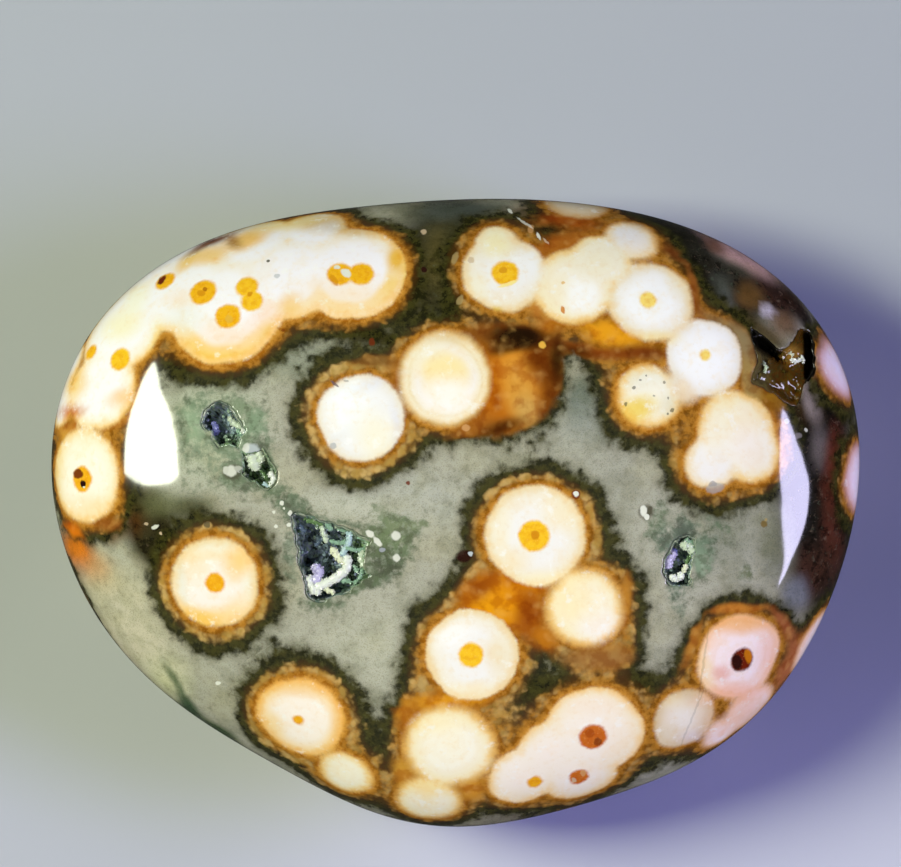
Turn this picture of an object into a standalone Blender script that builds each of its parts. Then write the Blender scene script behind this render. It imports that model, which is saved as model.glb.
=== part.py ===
"""Ocean jasper palm stone: a polished pebble whose face is broken by four small crystal-lined pits.

The stone lies on its belly, face up. X runs along its length, Y across it and Z up, and the origin is the
middle of its footprint. Sizes are in millimetres here, and the meshes are made in metres.
"""

import math
import random

import bmesh
import bpy
import numpy as np
from mathutils import Matrix, Vector, noise

MM = 0.001

# Rim of the stone seen from above: its radius every 22.5 degrees, anticlockwise from +X
RIM_RADII = (32.65, 33.8, 31.2, 27.4, 25.65, 26.8, 30.6, 33.4, 32.5, 29.3, 25.9, 25.0, 25.5, 25.8, 28.2, 30.6)

# Side profile: how far the face rises above the rim and the belly drops below it
FACE_RISE = 11.2
BELLY_DROP = 10.7
FULLNESS = 2.8  # 2 is an ellipse, and more is a flatter face with rounder shoulders
FLAT_DEPTH = 0.4  # ground off the belly, which leaves the flat that the stone rests on
RIM_LEVEL = BELLY_DROP - FLAT_DEPTH

STONE_SEGMENTS = 60
STONE_RINGS = 30

# Pits in the face: mouth outline, depth, and how many crystals line it
PITS = {
    "druse_upper_left": {
        "mouth": (
            (-14.3, 3.4), (-15.6, 5.6), (-17.0, 7.2), (-18.2, 8.9), (-19.9, 8.9),
            (-20.4, 7.2), (-19.0, 5.4), (-17.6, 3.7), (-16.2, 2.3), (-14.8, 2.1),
        ),
        "depth": 2.4,
        "crystals": 15,
        "seed": 3,
    },
    "druse_center": {
        "mouth": (
            (-4.0, -2.8), (-7.4, -1.6), (-10.6, -0.4), (-13.0, 0.1), (-12.7, -2.6),
            (-12.3, -5.2), (-11.4, -7.0), (-8.6, -6.4), (-5.7, -4.8),
        ),
        "depth": 3.0,
        "crystals": 30,
        "seed": 7,
    },
    "druse_right": {
        "mouth": (
            (19.9, -3.3), (19.3, -1.8), (18.1, -1.9), (17.0, -3.2),
            (16.8, -4.7), (17.5, -6.0), (18.7, -6.1), (19.5, -4.8),
        ),
        "depth": 2.2,
        "crystals": 11,
        "seed": 11,
    },
    "druse_corner": {
        "mouth": (
            (29.2, 11.8), (29.1, 14.0), (28.2, 15.2), (27.4, 14.0), (26.4, 13.4), (25.2, 14.4),
            (24.0, 15.0), (24.5, 12.6), (24.0, 10.8), (26.1, 9.6), (27.6, 8.8), (28.3, 10.4),
        ),
        "depth": 2.6,
        "crystals": 16,
        "seed": 5,
    },
}
PIT_SEGMENTS = 22
PIT_RINGS = 8
WALL_STEEPNESS = 0.55  # 1 is a round bowl, and less is a steeper wall
WALL_LUMPS = 0.18
LUMP_SIZE = 1.1
CUTTER_ABOVE_FACE = 1.5

# Crust of crystals in each pit
CRUST_GAP = 0.35  # clearance to the pit's wall
BED_INSET = 0.15  # the bed of the crust stays this far inside the room that its crystals have
CRUST_TOP = 0.42  # level of its bed, as a fraction of the pit's depth
CRYSTAL_TOP = 0.06  # level where the polish cuts the tallest crystals, as the same fraction
CRYSTAL_RADIUS = (0.28, 0.55)
CRYSTAL_TIP = 1.25  # height of the point, in radii
CRYSTAL_LEAN = 0.55
CRYSTAL_SIDES = 6

STONE_COLOR = (0.36, 0.33, 0.25)
QUARTZ_COLOR = (0.78, 0.82, 0.80)
AMBER_QUARTZ_COLOR = (0.22, 0.13, 0.03)


def clear_scene():
    for obj in list(bpy.data.objects):
        bpy.data.objects.remove(obj, do_unlink=True)


def new_collection(name):
    collection = bpy.data.collections.new(name)
    bpy.context.scene.collection.children.link(collection)
    return collection


def make_material(name, color, roughness, transmission=0.0):
    material = bpy.data.materials.new(name)
    material.use_nodes = True
    shader = material.node_tree.nodes["Principled BSDF"]
    shader.inputs["Base Color"].default_value = (*color, 1.0)
    shader.inputs["Roughness"].default_value = roughness
    shader.inputs["Metallic"].default_value = 0.0
    shader.inputs["Transmission Weight"].default_value = transmission
    return material


def make_object(name, mesh_builder, collection, material=None):
    """Turn a bmesh in millimetres into an object in metres."""
    bmesh.ops.scale(mesh_builder, vec=(MM, MM, MM), verts=mesh_builder.verts)
    bmesh.ops.recalc_face_normals(mesh_builder, faces=mesh_builder.faces)
    mesh = bpy.data.meshes.new(name)
    mesh_builder.to_mesh(mesh)
    mesh_builder.free()
    obj = bpy.data.objects.new(name, mesh)
    collection.objects.link(obj)
    if material is not None:
        mesh.materials.append(material)
    return obj


def make_guide(name, mesh_builder, collection):
    obj = make_object(name, mesh_builder, collection)
    obj.hide_render = True
    obj.display_type = "WIRE"
    return obj


def add_boolean(obj, operation, guide, joins_itself=False):
    modifier = obj.modifiers.new(guide.name, "BOOLEAN")
    modifier.operation = operation
    modifier.solver = "EXACT"
    modifier.object = guide
    modifier.use_self = joins_itself


def rim_radius(angle):
    """Radius of the smooth rim that runs through RIM_RADII: a sum of waves, so it has no kinks."""
    waves = np.fft.rfft(RIM_RADII) / len(RIM_RADII)
    orders = np.arange(len(waves))
    weights = np.where((orders == 0) | (orders == len(RIM_RADII) // 2), 1.0, 2.0)
    return float(np.sum(weights * (waves * np.exp(1j * orders * angle)).real))


def face_height(x, y):
    """Height of the uncut face over a point of the footprint."""
    share = min(math.hypot(x, y) / rim_radius(math.atan2(y, x)), 1.0)
    return RIM_LEVEL + FACE_RISE * math.sqrt(1.0 - share ** FULLNESS)


def loop_point(points, turn):
    """Point of the smooth closed curve through the points (Catmull-Rom), for a turn from 0 to 1."""
    place = turn % 1.0 * len(points)
    first = int(place)
    t = place - first
    a, b, c, d = (Vector(points[(first + step) % len(points)]) for step in (-1, 0, 1, 2))
    return 0.5 * (2 * b + (c - a) * t + (2 * a - 5 * b + 4 * c - d) * t ** 2 + (3 * b - 3 * c + d - a) * t ** 3)


def stone_mesh():
    """A sphere whose rim follows the outline and whose profile is a superellipse, ground flat below."""
    builder = bmesh.new()
    bmesh.ops.create_uvsphere(builder, u_segments=STONE_SEGMENTS, v_segments=STONE_RINGS, radius=1.0)
    for vert in builder.verts:
        x, y, z = vert.co
        share = min(math.hypot(x, y), 1.0)
        angle = math.atan2(y, x)
        reach = rim_radius(angle) * share ** (2.0 / FULLNESS)
        half = FACE_RISE if z > 0 else BELLY_DROP
        vert.co = (reach * math.cos(angle), reach * math.sin(angle), RIM_LEVEL + half * z)
    everything = builder.verts[:] + builder.edges[:] + builder.faces[:]
    cut = bmesh.ops.bisect_plane(
        builder, geom=everything, plane_co=(0.0, 0.0, 0.0), plane_no=(0.0, 0.0, -1.0), clear_outer=True)
    border = [item for item in cut["geom_cut"] if isinstance(item, bmesh.types.BMEdge)]
    bmesh.ops.edgeloop_fill(builder, edges=border)
    return builder


def pit_mesh(mouth, depth, shrink=0.0, top=None):
    """A lumpy bowl draped on the face. With top, it is only what lies below that fraction of the depth."""
    builder = bmesh.new()
    bmesh.ops.create_uvsphere(builder, u_segments=PIT_SEGMENTS, v_segments=PIT_RINGS, radius=1.0)
    if top is not None:
        everything = builder.verts[:] + builder.edges[:] + builder.faces[:]
        cut = bmesh.ops.bisect_plane(
            builder, geom=everything, plane_co=(0.0, 0.0, -top), plane_no=(0.0, 0.0, 1.0), clear_outer=True)
        border = [item for item in cut["geom_cut"] if isinstance(item, bmesh.types.BMEdge)]
        lid = bmesh.ops.edgeloop_fill(builder, edges=border)
        bmesh.ops.poke(builder, faces=lid["faces"])
    center = mouth_center(mouth)
    for vert in builder.verts:
        x, y, z = vert.co
        spoke = loop_point(mouth, math.atan2(y, x) / math.tau) - center
        reach = (spoke.length - shrink) * min(math.hypot(x, y), 1.0) ** WALL_STEEPNESS
        place = center + spoke.normalized() * reach
        below = (depth - shrink) * z if z < 0 else CUTTER_ABOVE_FACE * z
        level = face_height(*place) + below
        lump = WALL_LUMPS * noise.noise(Vector((*place, level)) / LUMP_SIZE)
        place += spoke.normalized() * lump * min(math.hypot(x, y), 1.0)
        vert.co = (place.x, place.y, level)
    return builder


def mouth_center(mouth):
    return sum((Vector(point) for point in mouth), Vector((0.0, 0.0))) / len(mouth)


def add_crystal(builder, foot, direction, radius, length):
    """A six-sided prism with a pointed end, standing on foot."""
    body = bmesh.ops.create_cone(
        builder, cap_ends=True, segments=CRYSTAL_SIDES, radius1=0.8 * radius, radius2=radius, depth=length)
    faces = {face for vert in body["verts"] for face in vert.link_faces}
    end = max(faces, key=lambda face: face.calc_center_median().z)
    tip = bmesh.ops.poke(builder, faces=[end])["verts"][0]
    tip.co.z += CRYSTAL_TIP * radius
    turn = direction.to_track_quat("Z", "Y").to_matrix().to_4x4()
    stand = Matrix.Translation(foot) @ turn @ Matrix.Translation((0.0, 0.0, length / 2))
    bmesh.ops.transform(builder, matrix=stand, verts=body["verts"] + [tip])


def crystals_mesh(mouth, depth, crystals, seed):
    """Crystals that stand on the pit's bed and lean in from its wall."""
    rng = random.Random(seed)
    center = mouth_center(mouth)
    builder = bmesh.new()
    for index in range(crystals):
        spoke = loop_point(mouth, (index + rng.uniform(-0.3, 0.3)) / crystals * 2.0) - center
        outward = (0.82 if index % 2 else 0.42) * rng.uniform(0.8, 1.05)
        place = center + spoke * outward
        radius = rng.uniform(*CRYSTAL_RADIUS)
        foot = Vector((place.x, place.y, face_height(*place) - depth * (CRUST_TOP + 0.2)))
        lean = -spoke.normalized() * CRYSTAL_LEAN * outward
        direction = Vector((lean.x + rng.uniform(-0.3, 0.3), lean.y + rng.uniform(-0.3, 0.3), 1.0))
        add_crystal(builder, foot, direction, radius, depth * rng.uniform(0.28, 0.5))
    return builder


def build():
    clear_scene()
    parts = new_collection("ocean_jasper_palm_stone")
    guides = new_collection("cutters")

    stone = make_object("palm_stone", stone_mesh(), parts, make_material("jasper", STONE_COLOR, 0.08))
    quartz = make_material("quartz", QUARTZ_COLOR, 0.15, transmission=0.3)
    amber_quartz = make_material("amber_quartz", AMBER_QUARTZ_COLOR, 0.12, transmission=0.3)

    for name, pit in PITS.items():
        mouth = pit["mouth"]
        depth = pit["depth"]
        cutter = make_guide(name + "_cutter", pit_mesh(mouth, depth), guides)
        add_boolean(stone, "DIFFERENCE", cutter)

        material = amber_quartz if name == "druse_corner" else quartz
        bed = pit_mesh(mouth, depth, CRUST_GAP + BED_INSET, CRUST_TOP)
        crust = make_object(name, bed, parts, material)
        crystals = crystals_mesh(mouth, depth, pit["crystals"], pit["seed"])
        add_boolean(crust, "UNION", make_guide(name + "_crystals", crystals, guides), joins_itself=True)
        room = pit_mesh(mouth, depth, CRUST_GAP, CRYSTAL_TOP)
        add_boolean(crust, "INTERSECT", make_guide(name + "_room", room, guides))

    stone.data.shade_smooth()
    stone.data.set_sharp_from_angle(angle=math.radians(35.0))


build()
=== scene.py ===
"""The looks of a polished ocean jasper palm stone: orbs, moss fringes and pits lined with quartz crystals.

The camera looks straight down on the stone, as in the photograph. X runs along the stone's length, Y up in the
picture and Z out of the polished face. Lengths are in millimetres and become metres only when a mesh is made.
Markings are placed by where they lie in the photograph, in its pixels across and down, and carried on to the face.
"""

import math

import bmesh
import bpy
import numpy as np
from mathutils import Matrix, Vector, noise


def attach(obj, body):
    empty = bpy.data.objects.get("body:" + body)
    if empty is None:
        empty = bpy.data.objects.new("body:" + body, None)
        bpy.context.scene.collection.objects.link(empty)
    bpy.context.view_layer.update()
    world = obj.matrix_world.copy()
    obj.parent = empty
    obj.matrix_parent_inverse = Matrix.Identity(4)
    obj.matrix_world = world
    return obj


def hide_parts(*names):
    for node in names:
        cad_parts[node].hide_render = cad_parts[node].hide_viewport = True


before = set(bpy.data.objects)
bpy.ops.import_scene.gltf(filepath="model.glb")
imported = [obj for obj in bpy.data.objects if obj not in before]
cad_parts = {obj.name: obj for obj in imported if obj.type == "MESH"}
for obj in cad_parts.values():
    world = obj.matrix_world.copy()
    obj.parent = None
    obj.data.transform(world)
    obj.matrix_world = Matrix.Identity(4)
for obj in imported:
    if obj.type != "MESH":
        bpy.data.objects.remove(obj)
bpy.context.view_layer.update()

# Blender's vector noise is drawn from the time unless it is given a seed.
NOISE_SEED = 5
noise.seed_set(NOISE_SEED)

MM = 0.001

# The form of the stone: rim radii every 22.5 degrees from +X, and how far face and belly stand off the rim.
RIM_RADII = np.array((
    32.65, 33.8, 31.2, 27.4, 25.65, 26.8, 30.6, 33.4,
    32.5, 29.3, 25.9, 25.0, 25.5, 25.8, 28.2, 30.6,
))
FACE_RISE = 11.2
BELLY_DROP = 10.7
FULLNESS = 2.8
FLAT_DEPTH = 0.4
RIM_LEVEL = BELLY_DROP - FLAT_DEPTH
FLAT_SOFTNESS = 0.08

# The photograph's frame: its size and scale at the rim, and the point of the ground under its middle.
PHOTO_SIZE = (901, 867)
PHOTO_SCALE = 12.26
FACE_SCALE = 12.39
CAMERA_DISTANCE = 1000.0
AIM = (-0.33, 6.57)

# The open pits: mouth on the face, depth, and how wide the steep wall is.
PITS = {
    "druse_upper_left": {
        "mouth": ((-14.3, 3.4), (-15.6, 5.6), (-17.0, 7.2), (-18.2, 8.9), (-19.9, 8.9), (-20.4, 7.2),
                  (-19.0, 5.4), (-17.6, 3.7), (-16.2, 2.3), (-14.8, 2.1)),
        "depth": 2.3, "wall": 0.7,
    },
    "druse_center": {
        "mouth": ((-4.0, -2.8), (-7.4, -1.6), (-10.6, -0.4), (-13.0, 0.1), (-12.7, -2.6), (-12.3, -5.2),
                  (-11.4, -7.0), (-8.6, -6.4), (-5.7, -4.8)),
        "depth": 2.8, "wall": 0.9,
    },
    "druse_right": {
        "mouth": ((19.9, -3.3), (19.3, -1.8), (18.1, -1.9), (17.0, -3.2), (16.8, -4.7), (17.5, -6.0),
                  (18.7, -6.1), (19.5, -4.8)),
        "depth": 2.0, "wall": 0.6,
    },
    "druse_corner": {
        "mouth": ((29.2, 11.8), (29.1, 14.0), (28.2, 15.2), (27.4, 14.0), (26.4, 13.4), (25.2, 14.4),
                  (24.0, 15.0), (24.5, 12.6), (24.0, 10.8), (26.1, 9.6), (27.6, 8.8), (28.3, 10.4)),
        "depth": 2.4, "wall": 0.6,
    },
}

# How finely the stone is meshed, from the unit ball that it is shaped from.
BALL_SUBDIVISIONS = 7
FINE_ABOVE = 0.30
PIT_MARGIN = 0.7
MOUTH_RAGGED = 0.22

# How far the markings wander from true circles, over which widths the edges, colours, styles and halos of
# neighbouring orbs flow together, and how much slower patterns change outward from an orb than along its edge.
WANDER = ((3.2, 0.30), (1.1, 0.11))
GAP_BLEND = 0.16
DISC_BLEND = 0.5
STYLE_BLEND = 0.3
HALO_BLEND = 0.75
RAY_STRETCH = 0.55

# How wide the tan bed and the moss fringe round an orb are, and how much wider where the tan crystals are thick.
BED_WIDTH = 0.46
BED_GROWS = 0.58
FRINGE_WIDTH = 1.75
FRINGE_GROWS = 0.6

# Colours, as red, green and blue from 0 to 255.
MATRIX = (172, 171, 157)
STAIN = (150, 92, 30)
GREEN = (100, 116, 94)
BELLY_DARK = (48, 50, 36)
BELLY_BROWN = (98, 62, 36)
STYLES = {
    "white": ((0.0, (245, 241, 240)), (0.5, (245, 241, 238)), (0.78, (244, 235, 218)), (1.0, (236, 218, 178))),
    "snow": ((0.0, (243, 240, 240)), (0.7, (243, 241, 241)), (0.9, (238, 234, 228)), (1.0, (230, 216, 190))),
    "cream": ((0.0, (250, 240, 212)), (0.5, (250, 243, 226)), (0.8, (247, 232, 194)), (1.0, (238, 212, 156))),
    "ringed": ((0.0, (247, 228, 180)), (0.4, (247, 230, 192)), (0.62, (246, 238, 230)), (0.76, (245, 234, 212)),
               (0.8, (238, 220, 180)), (0.86, (245, 234, 208)), (1.0, (222, 196, 142))),
    "cluster": ((0.0, (250, 246, 254)), (0.6, (250, 246, 254)), (0.85, (250, 238, 222)), (1.0, (244, 212, 150))),
    "warm": ((0.0, (252, 240, 230)), (0.6, (251, 240, 226)), (0.85, (248, 231, 200)), (1.0, (242, 212, 160))),
    "peach": ((0.0, (253, 243, 232)), (0.58, (252, 238, 222)), (0.8, (249, 216, 158)), (1.0, (243, 198, 118))),
    "pink": ((0.0, (255, 212, 196)), (0.35, (255, 240, 242)), (0.64, (255, 232, 226)), (0.86, (254, 222, 204)),
             (1.0, (246, 200, 156))),
    "grey": ((0.0, (240, 221, 190)), (0.6, (232, 212, 184)), (1.0, (212, 190, 152))),
    "rim": ((0.0, (234, 220, 200)), (0.6, (236, 216, 184)), (1.0, (214, 174, 122))),
    "lilac": ((0.0, (252, 240, 255)), (0.6, (248, 226, 238)), (1.0, (214, 160, 150))),
}
RINGS = {"white": 0.02, "snow": 0.0, "cream": 0.05, "ringed": 0.0, "cluster": 0.0, "peach": 0.04, "pink": 0.12,
         "grey": 0.0, "rim": 0.0, "lilac": 0.0, "warm": 0.0}
GOLD = {"white": 0.35, "snow": 0.1, "cream": 0.65, "ringed": 0.45, "cluster": 0.6, "peach": 0.6, "pink": 0.25,
        "grey": 0.2, "rim": 0.4, "lilac": 0.1, "warm": 0.5}
EYE_COLORS = {
    "amber": (248, 196, 40), "deep": (244, 184, 30), "pale": (252, 222, 116),
    "red": (202, 108, 36), "dark_red": (112, 34, 12), "orange": (240, 174, 30),
}

# The orbs: across, down and radius in the photograph, style, softness of the edge, share of tan crystals round it.
ORBS = {
    "cluster_low": (226, 306, 60, "cluster", 0.14, 0.1),
    "cluster_right": (352, 270, 54, "cluster", 0.12, 0.05),
    "cluster_middle": (290, 275, 50, "cluster", 0.14, 0.05),
    "cluster_inner_left": (180, 288, 50, "cluster", 0.16, 0.05),
    "cluster_far_left": (120, 325, 52, "cluster", 0.2, 0.1),
    "cluster_lower_left": (100, 388, 42, "cluster", 0.2, 0.1),
    "cluster_rim_left": (146, 266, 46, "cluster", 0.2, 0.1),
    "cluster_rim_joint": (196, 250, 40, "cluster", 0.2, 0.1),
    "cluster_rim": (250, 240, 44, "cluster", 0.2, 0.1),
    "cluster_rim_right": (312, 228, 34, "cluster", 0.2, 0.1),
    "cluster_rim_low": (66, 372, 34, "cluster", 0.2, 0.1),
    "cluster_rim_bottom": (62, 404, 24, "cluster", 0.2, 0.1),
    "left_rim": (82, 475, 48, "warm", 0.2, 0.1),
    "left": (215, 583, 46, "white", 0.18, 0.75),
    "lower_left": (301, 719, 45, "peach", 0.2, 0.75),
    "lower_left_small": (345, 774, 29, "cream", 0.22, 0.5),
    "middle_white": (361, 418, 43, "snow", 0.15, 0.85),
    "middle_ringed": (445, 378, 47, "ringed", 0.26, 0.3),
    "right_of_middle": (535, 536, 50, "white", 0.17, 0.7),
    "below_right_of_middle": (585, 608, 39, "cream", 0.42, 0.5),
    "lower_middle": (472, 655, 47, "white", 0.12, 0.6),
    "bottom_soft": (449, 748, 45, "cream", 0.42, 0.5),
    "bottom_rim": (428, 800, 33, "cream", 0.34, 0.4),
    "bottom_cluster": (594, 734, 51, "warm", 0.14, 0.4),
    "bottom_cluster_low": (580, 775, 38, "warm", 0.14, 0.35),
    "bottom_cluster_left": (522, 778, 35, "warm", 0.14, 0.35),
    "bottom_cluster_joint": (550, 752, 33, "warm", 0.14, 0.35),
    "lower_right_grey": (685, 720, 33, "grey", 0.2, 0.2),
    "lower_right_pink": (740, 659, 46, "pink", 0.2, 0.35),
    "lower_right_patch": (750, 709, 30, "pink", 0.4, 0.2),
    "lower_right_low": (722, 733, 22, "pink", 0.4, 0.2),
    "top": (504, 273, 42, "white", 0.18, 0.35),
    "top_lobe": (497, 243, 22, "white", 0.2, 0.2),
    "top_cream": (574, 286, 42, "cream", 0.2, 0.05),
    "top_cream_upper": (600, 262, 32, "cream", 0.2, 0.05),
    "top_rim": (632, 240, 27, "warm", 0.3, 0.1),
    "top_right": (651, 302, 43, "white", 0.22, 0.05),
    "right_white": (706, 357, 39, "snow", 0.14, 0.1),
    "right_speckled": (648, 397, 31, "cream", 0.22, 0.25),
    "right_large": (736, 431, 41, "cream", 0.18, 0.15),
    "right_large_left": (712, 462, 27, "white", 0.2, 0.5),
    "right_large_right": (750, 452, 31, "cream", 0.18, 0.1),
    "right_joint": (684, 386, 17, "grey", 0.4, 0.0),
    "rim_top": (576, 205, 33, "rim", 0.2, 0.1),
    "rim_right_white": (838, 368, 32, "lilac", 0.4, 0.0),
    "rim_right_pink": (858, 478, 34, "lilac", 0.4, 0.1),
    "rim_right_peach": (816, 644, 38, "pink", 0.4, 0.1),
}

# Iron stains beside the orbs, which the fringe runs round as well: across, down and radius.
STAINS = ((508, 390, 27), (532, 368, 12), (602, 648, 15), (500, 600, 26), (452, 704, 26), (612, 334, 20),
          (548, 300, 20))

# The eyes of the orbs: across, down, radius and colour.
EYES = (
    (165, 281, 11, "deep"), (203, 292, 14, "deep"), (247, 287, 11.5, "amber"), (252, 301, 11, "amber"),
    (228, 316, 13, "deep"), (340, 274, 13, "deep"), (361, 274, 12.5, "deep"), (91, 352, 8, "deep"),
    (120, 359, 11.5, "amber"), (82, 479, 13, "orange"), (215, 583, 10, "orange"), (298, 720, 5.5, "orange"),
    (534, 536, 15.5, "amber"), (471, 655, 12.5, "amber"), (593, 737, 14, "red"), (579, 777, 10, "red"),
    (535, 782, 7.5, "orange"), (742, 660, 12.5, "dark_red"), (505, 273, 13.5, "amber"), (648, 300, 8.5, "pale"),
    (705, 355, 5.5, "pale"),
)

# Soft patches: across, down, half width, half height, turn in degrees, softness, colour, strength and, where a
# patch keeps to a band inside an orb, how far inside the edge that band begins and ends.
PATCHES_DISC = [
    (208, 257, 22, 8, 15, .7, (248, 200, 96), .8),
    (246, 239, 22, 8, 20, .7, (246, 192, 70), .85),
    (320, 220, 22, 6, 8, .7, (240, 186, 78), .85),
    (186, 262, 14, 6, 36, .7, (246, 202, 100), .8),
    (292, 222, 44, 8, 8, .6, (250, 226, 160), .8),
    (330, 213, 16, 5, 6, .6, (248, 244, 235), .8),
    (212, 243, 26, 4, 26, .7, (112, 58, 6), .95),
    (234, 241, 8, 5, -20, .8, (150, 96, 20), .8),
    (136, 300, 10, 16, -30, .8, (250, 246, 222), .7),
    (158, 352, 7, 24, 0, .8, (244, 232, 176), .7),
    (76, 384, 10, 15, -20, .8, (246, 204, 112), .8),
    (122, 398, 15, 8, 20, .8, (248, 198, 134), .75),
    (72, 412, 14, 6, 10, .8, (206, 116, 54), .85),
    (228, 346, 56, 24, 0, .5, (247, 204, 92), 1, (.25, 1.45)),
    (232, 336, 34, 14, 0, .9, (251, 224, 200), .7),
    (268, 318, 16, 16, 0, .9, (252, 222, 205), .7),
    (290, 306, 11, 14, -20, .7, (245, 200, 112), .85),
    (275, 335, 14, 12, 30, .7, (243, 200, 110), .9, (.2, 1.6)),
    (366, 304, 60, 34, 12, .5, (247, 206, 98), 1, (.4, 1.45)),
    (350, 300, 46, 20, 0, .9, (252, 228, 196), .7),
    (396, 258, 8, 11, 10, .6, (239, 188, 66), .95),
    (408, 276, 6, 22, 0, .7, (246, 226, 150), .7),
    (352, 226, 44, 8, 0, .8, (200, 180, 150), .6),
    (186, 318, 16, 14, 0, .9, (236, 234, 226), .5),
    (180, 300, 12, 8, 0, .9, (250, 226, 205), .5),
    (94, 470, 20, 24, 0, .8, (254, 244, 234), .8),
    (58, 462, 7, 24, -10, .8, (250, 224, 166), .5),
    # painted light: the warm yellow cast of the left lamp, laid on the far-left orb of the cluster
    (120, 326, 20, 12, 20, .8, (250, 240, 196), .7),
    (445, 337, 34, 8, 0, .8, (224, 202, 160), .8),
    (741, 425, 17, 12, 20, .9, (248, 224, 152), .75),
    (712, 434, 8, 16, 0, .9, (250, 230, 172), .65),
    (756, 456, 12, 14, 0, .9, (244, 228, 204), .6),
    (641, 407, 14, 9, 20, .8, (236, 214, 106), .85),
    (654, 378, 22, 9, 10, .9, (228, 224, 204), .75),
    (668, 404, 8, 14, 10, .9, (226, 218, 190), .7),
    (676, 704, 14, 8, -20, .8, (236, 218, 180), .75),
    (692, 736, 14, 7, 0, .8, (224, 212, 220), .6),
    (212, 598, 26, 18, 0, .9, (250, 232, 218), .75),
    (208, 620, 28, 9, 8, .8, (248, 204, 112), .85),
    (242, 562, 8, 20, -34, .8, (248, 214, 158), .75),
    (184, 582, 6, 24, 5, .8, (226, 224, 208), .8),
    (208, 556, 24, 6, 0, .8, (244, 226, 184), .6),
    (372, 384, 26, 6, 20, .8, (226, 226, 238), .6),
    (396, 430, 5, 22, 8, .8, (228, 226, 236), .6),
    (336, 440, 16, 6, 40, .8, (234, 230, 226), .6),
    (90, 508, 22, 12, 0, .8, (250, 220, 180), .7),
    (236, 566, 14, 18, -40, .7, (250, 206, 130), .8),
    (206, 586, 24, 22, 10, .8, (252, 240, 238), .75),
    (196, 616, 22, 8, -30, .7, (246, 200, 100), .85),
    (196, 566, 14, 16, 30, .8, (250, 222, 182), .6),
    (236, 610, 14, 10, 40, .9, (250, 212, 150), .6),
    (300, 686, 36, 9, 0, .7, (244, 196, 112), .8),
    (338, 722, 8, 28, 0, .7, (244, 196, 120), .8),
    (276, 724, 7, 9, 20, .8, (247, 206, 110), .8),
    (300, 716, 26, 24, 0, .8, (254, 242, 236), .7),
    (345, 774, 16, 14, 0, .9, (254, 246, 225), .7),
    (346, 404, 24, 26, 0, .8, (250, 252, 255), .7),
    (374, 436, 16, 24, 20, .8, (250, 243, 216), .7),
    (442, 366, 24, 13, 0, .6, (250, 230, 170), .9),
    (448, 396, 23, 18, 0, .7, (255, 250, 247), .8),
    (428, 352, 20, 10, 20, .8, (246, 238, 214), .6),
    (562, 514, 20, 16, -30, .8, (247, 232, 196), .7),
    (512, 562, 18, 12, 30, .8, (246, 228, 190), .7),
    (545, 580, 26, 9, 0, .7, (250, 236, 196), .7),
    (500, 530, 10, 26, 0, .8, (248, 238, 212), .6),
    (572, 600, 20, 26, 0, .8, (252, 234, 184), .8),
    (604, 626, 20, 20, 0, .8, (251, 244, 243), .8),
    (596, 598, 18, 16, 0, .9, (251, 240, 212), .6),
    (498, 655, 12, 16, 0, .7, (240, 224, 188), .7),
    (452, 634, 20, 12, 20, .8, (253, 251, 250), .7),
    (470, 692, 30, 9, 0, .7, (249, 236, 205), .6),
    (440, 726, 22, 10, 0, .8, (252, 238, 196), .8),
    (452, 752, 26, 20, 0, .8, (254, 248, 232), .6),
    (428, 786, 22, 9, 0, .7, (252, 226, 160), .8),
    (420, 812, 20, 10, 0, .8, (252, 240, 206), .7),
    (594, 706, 28, 10, 0, .7, (250, 232, 212), .7),
    (622, 738, 14, 28, 0, .8, (251, 236, 214), .6),
    (520, 800, 30, 9, -10, .7, (250, 234, 206), .7),
    (510, 766, 16, 12, 30, .8, (254, 244, 232), .6),
    (683, 718, 16, 12, 0, .8, (244, 242, 240), .6),
    (668, 735, 12, 10, 0, .8, (232, 220, 196), .7),
    (739, 624, 32, 8, 0, .7, (246, 184, 116), .8),
    (706, 668, 8, 24, 10, .7, (250, 226, 180), .7),
    (770, 655, 12, 26, 0, .8, (250, 205, 185), .7),
    (735, 695, 30, 10, 10, .7, (252, 196, 168), .8),
    (723, 674, 8, 8, 0, .8, (236, 170, 150), .7),
    (745, 716, 30, 14, 10, .8, (246, 205, 180), .8),
    (497, 244, 16, 14, 0, .7, (250, 238, 184), .8),
    (498, 314, 6, 7, 0, .6, (226, 194, 70), .8),
    (478, 286, 10, 12, 0, .8, (247, 240, 214), .6),
    (532, 262, 12, 18, 0, .8, (246, 247, 252), .7),
    (581, 296, 20, 18, 0, .5, (254, 253, 252), .9),
    (600, 256, 28, 16, 0, .8, (246, 238, 212), .7),
    (556, 300, 12, 22, 0, .8, (250, 236, 200), .7),
    (626, 236, 18, 10, 0, .7, (240, 240, 244), .6),
    (640, 222, 16, 6, -20, .7, (222, 214, 196), .7),
    (651, 300, 29, 28, 0, .35, (253, 253, 253), .9),
    (680, 276, 12, 20, 20, .8, (246, 236, 206), .7),
    (660, 340, 24, 8, 0, .6, (244, 228, 180), .8),
    (706, 357, 28, 28, 0, .6, (254, 254, 255), .9),
    (634, 412, 16, 12, 30, .6, (244, 214, 110), .85),
    (655, 386, 16, 14, 0, .8, (250, 246, 232), .6),
    (726, 414, 16, 20, 0, .8, (250, 238, 196), .7),
    (744, 440, 16, 24, 0, .8, (251, 243, 236), .7),
    (712, 440, 18, 24, 0, .8, (250, 246, 236), .6),
    (768, 448, 6, 28, 5, .7, (250, 243, 230), .7),
]
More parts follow.
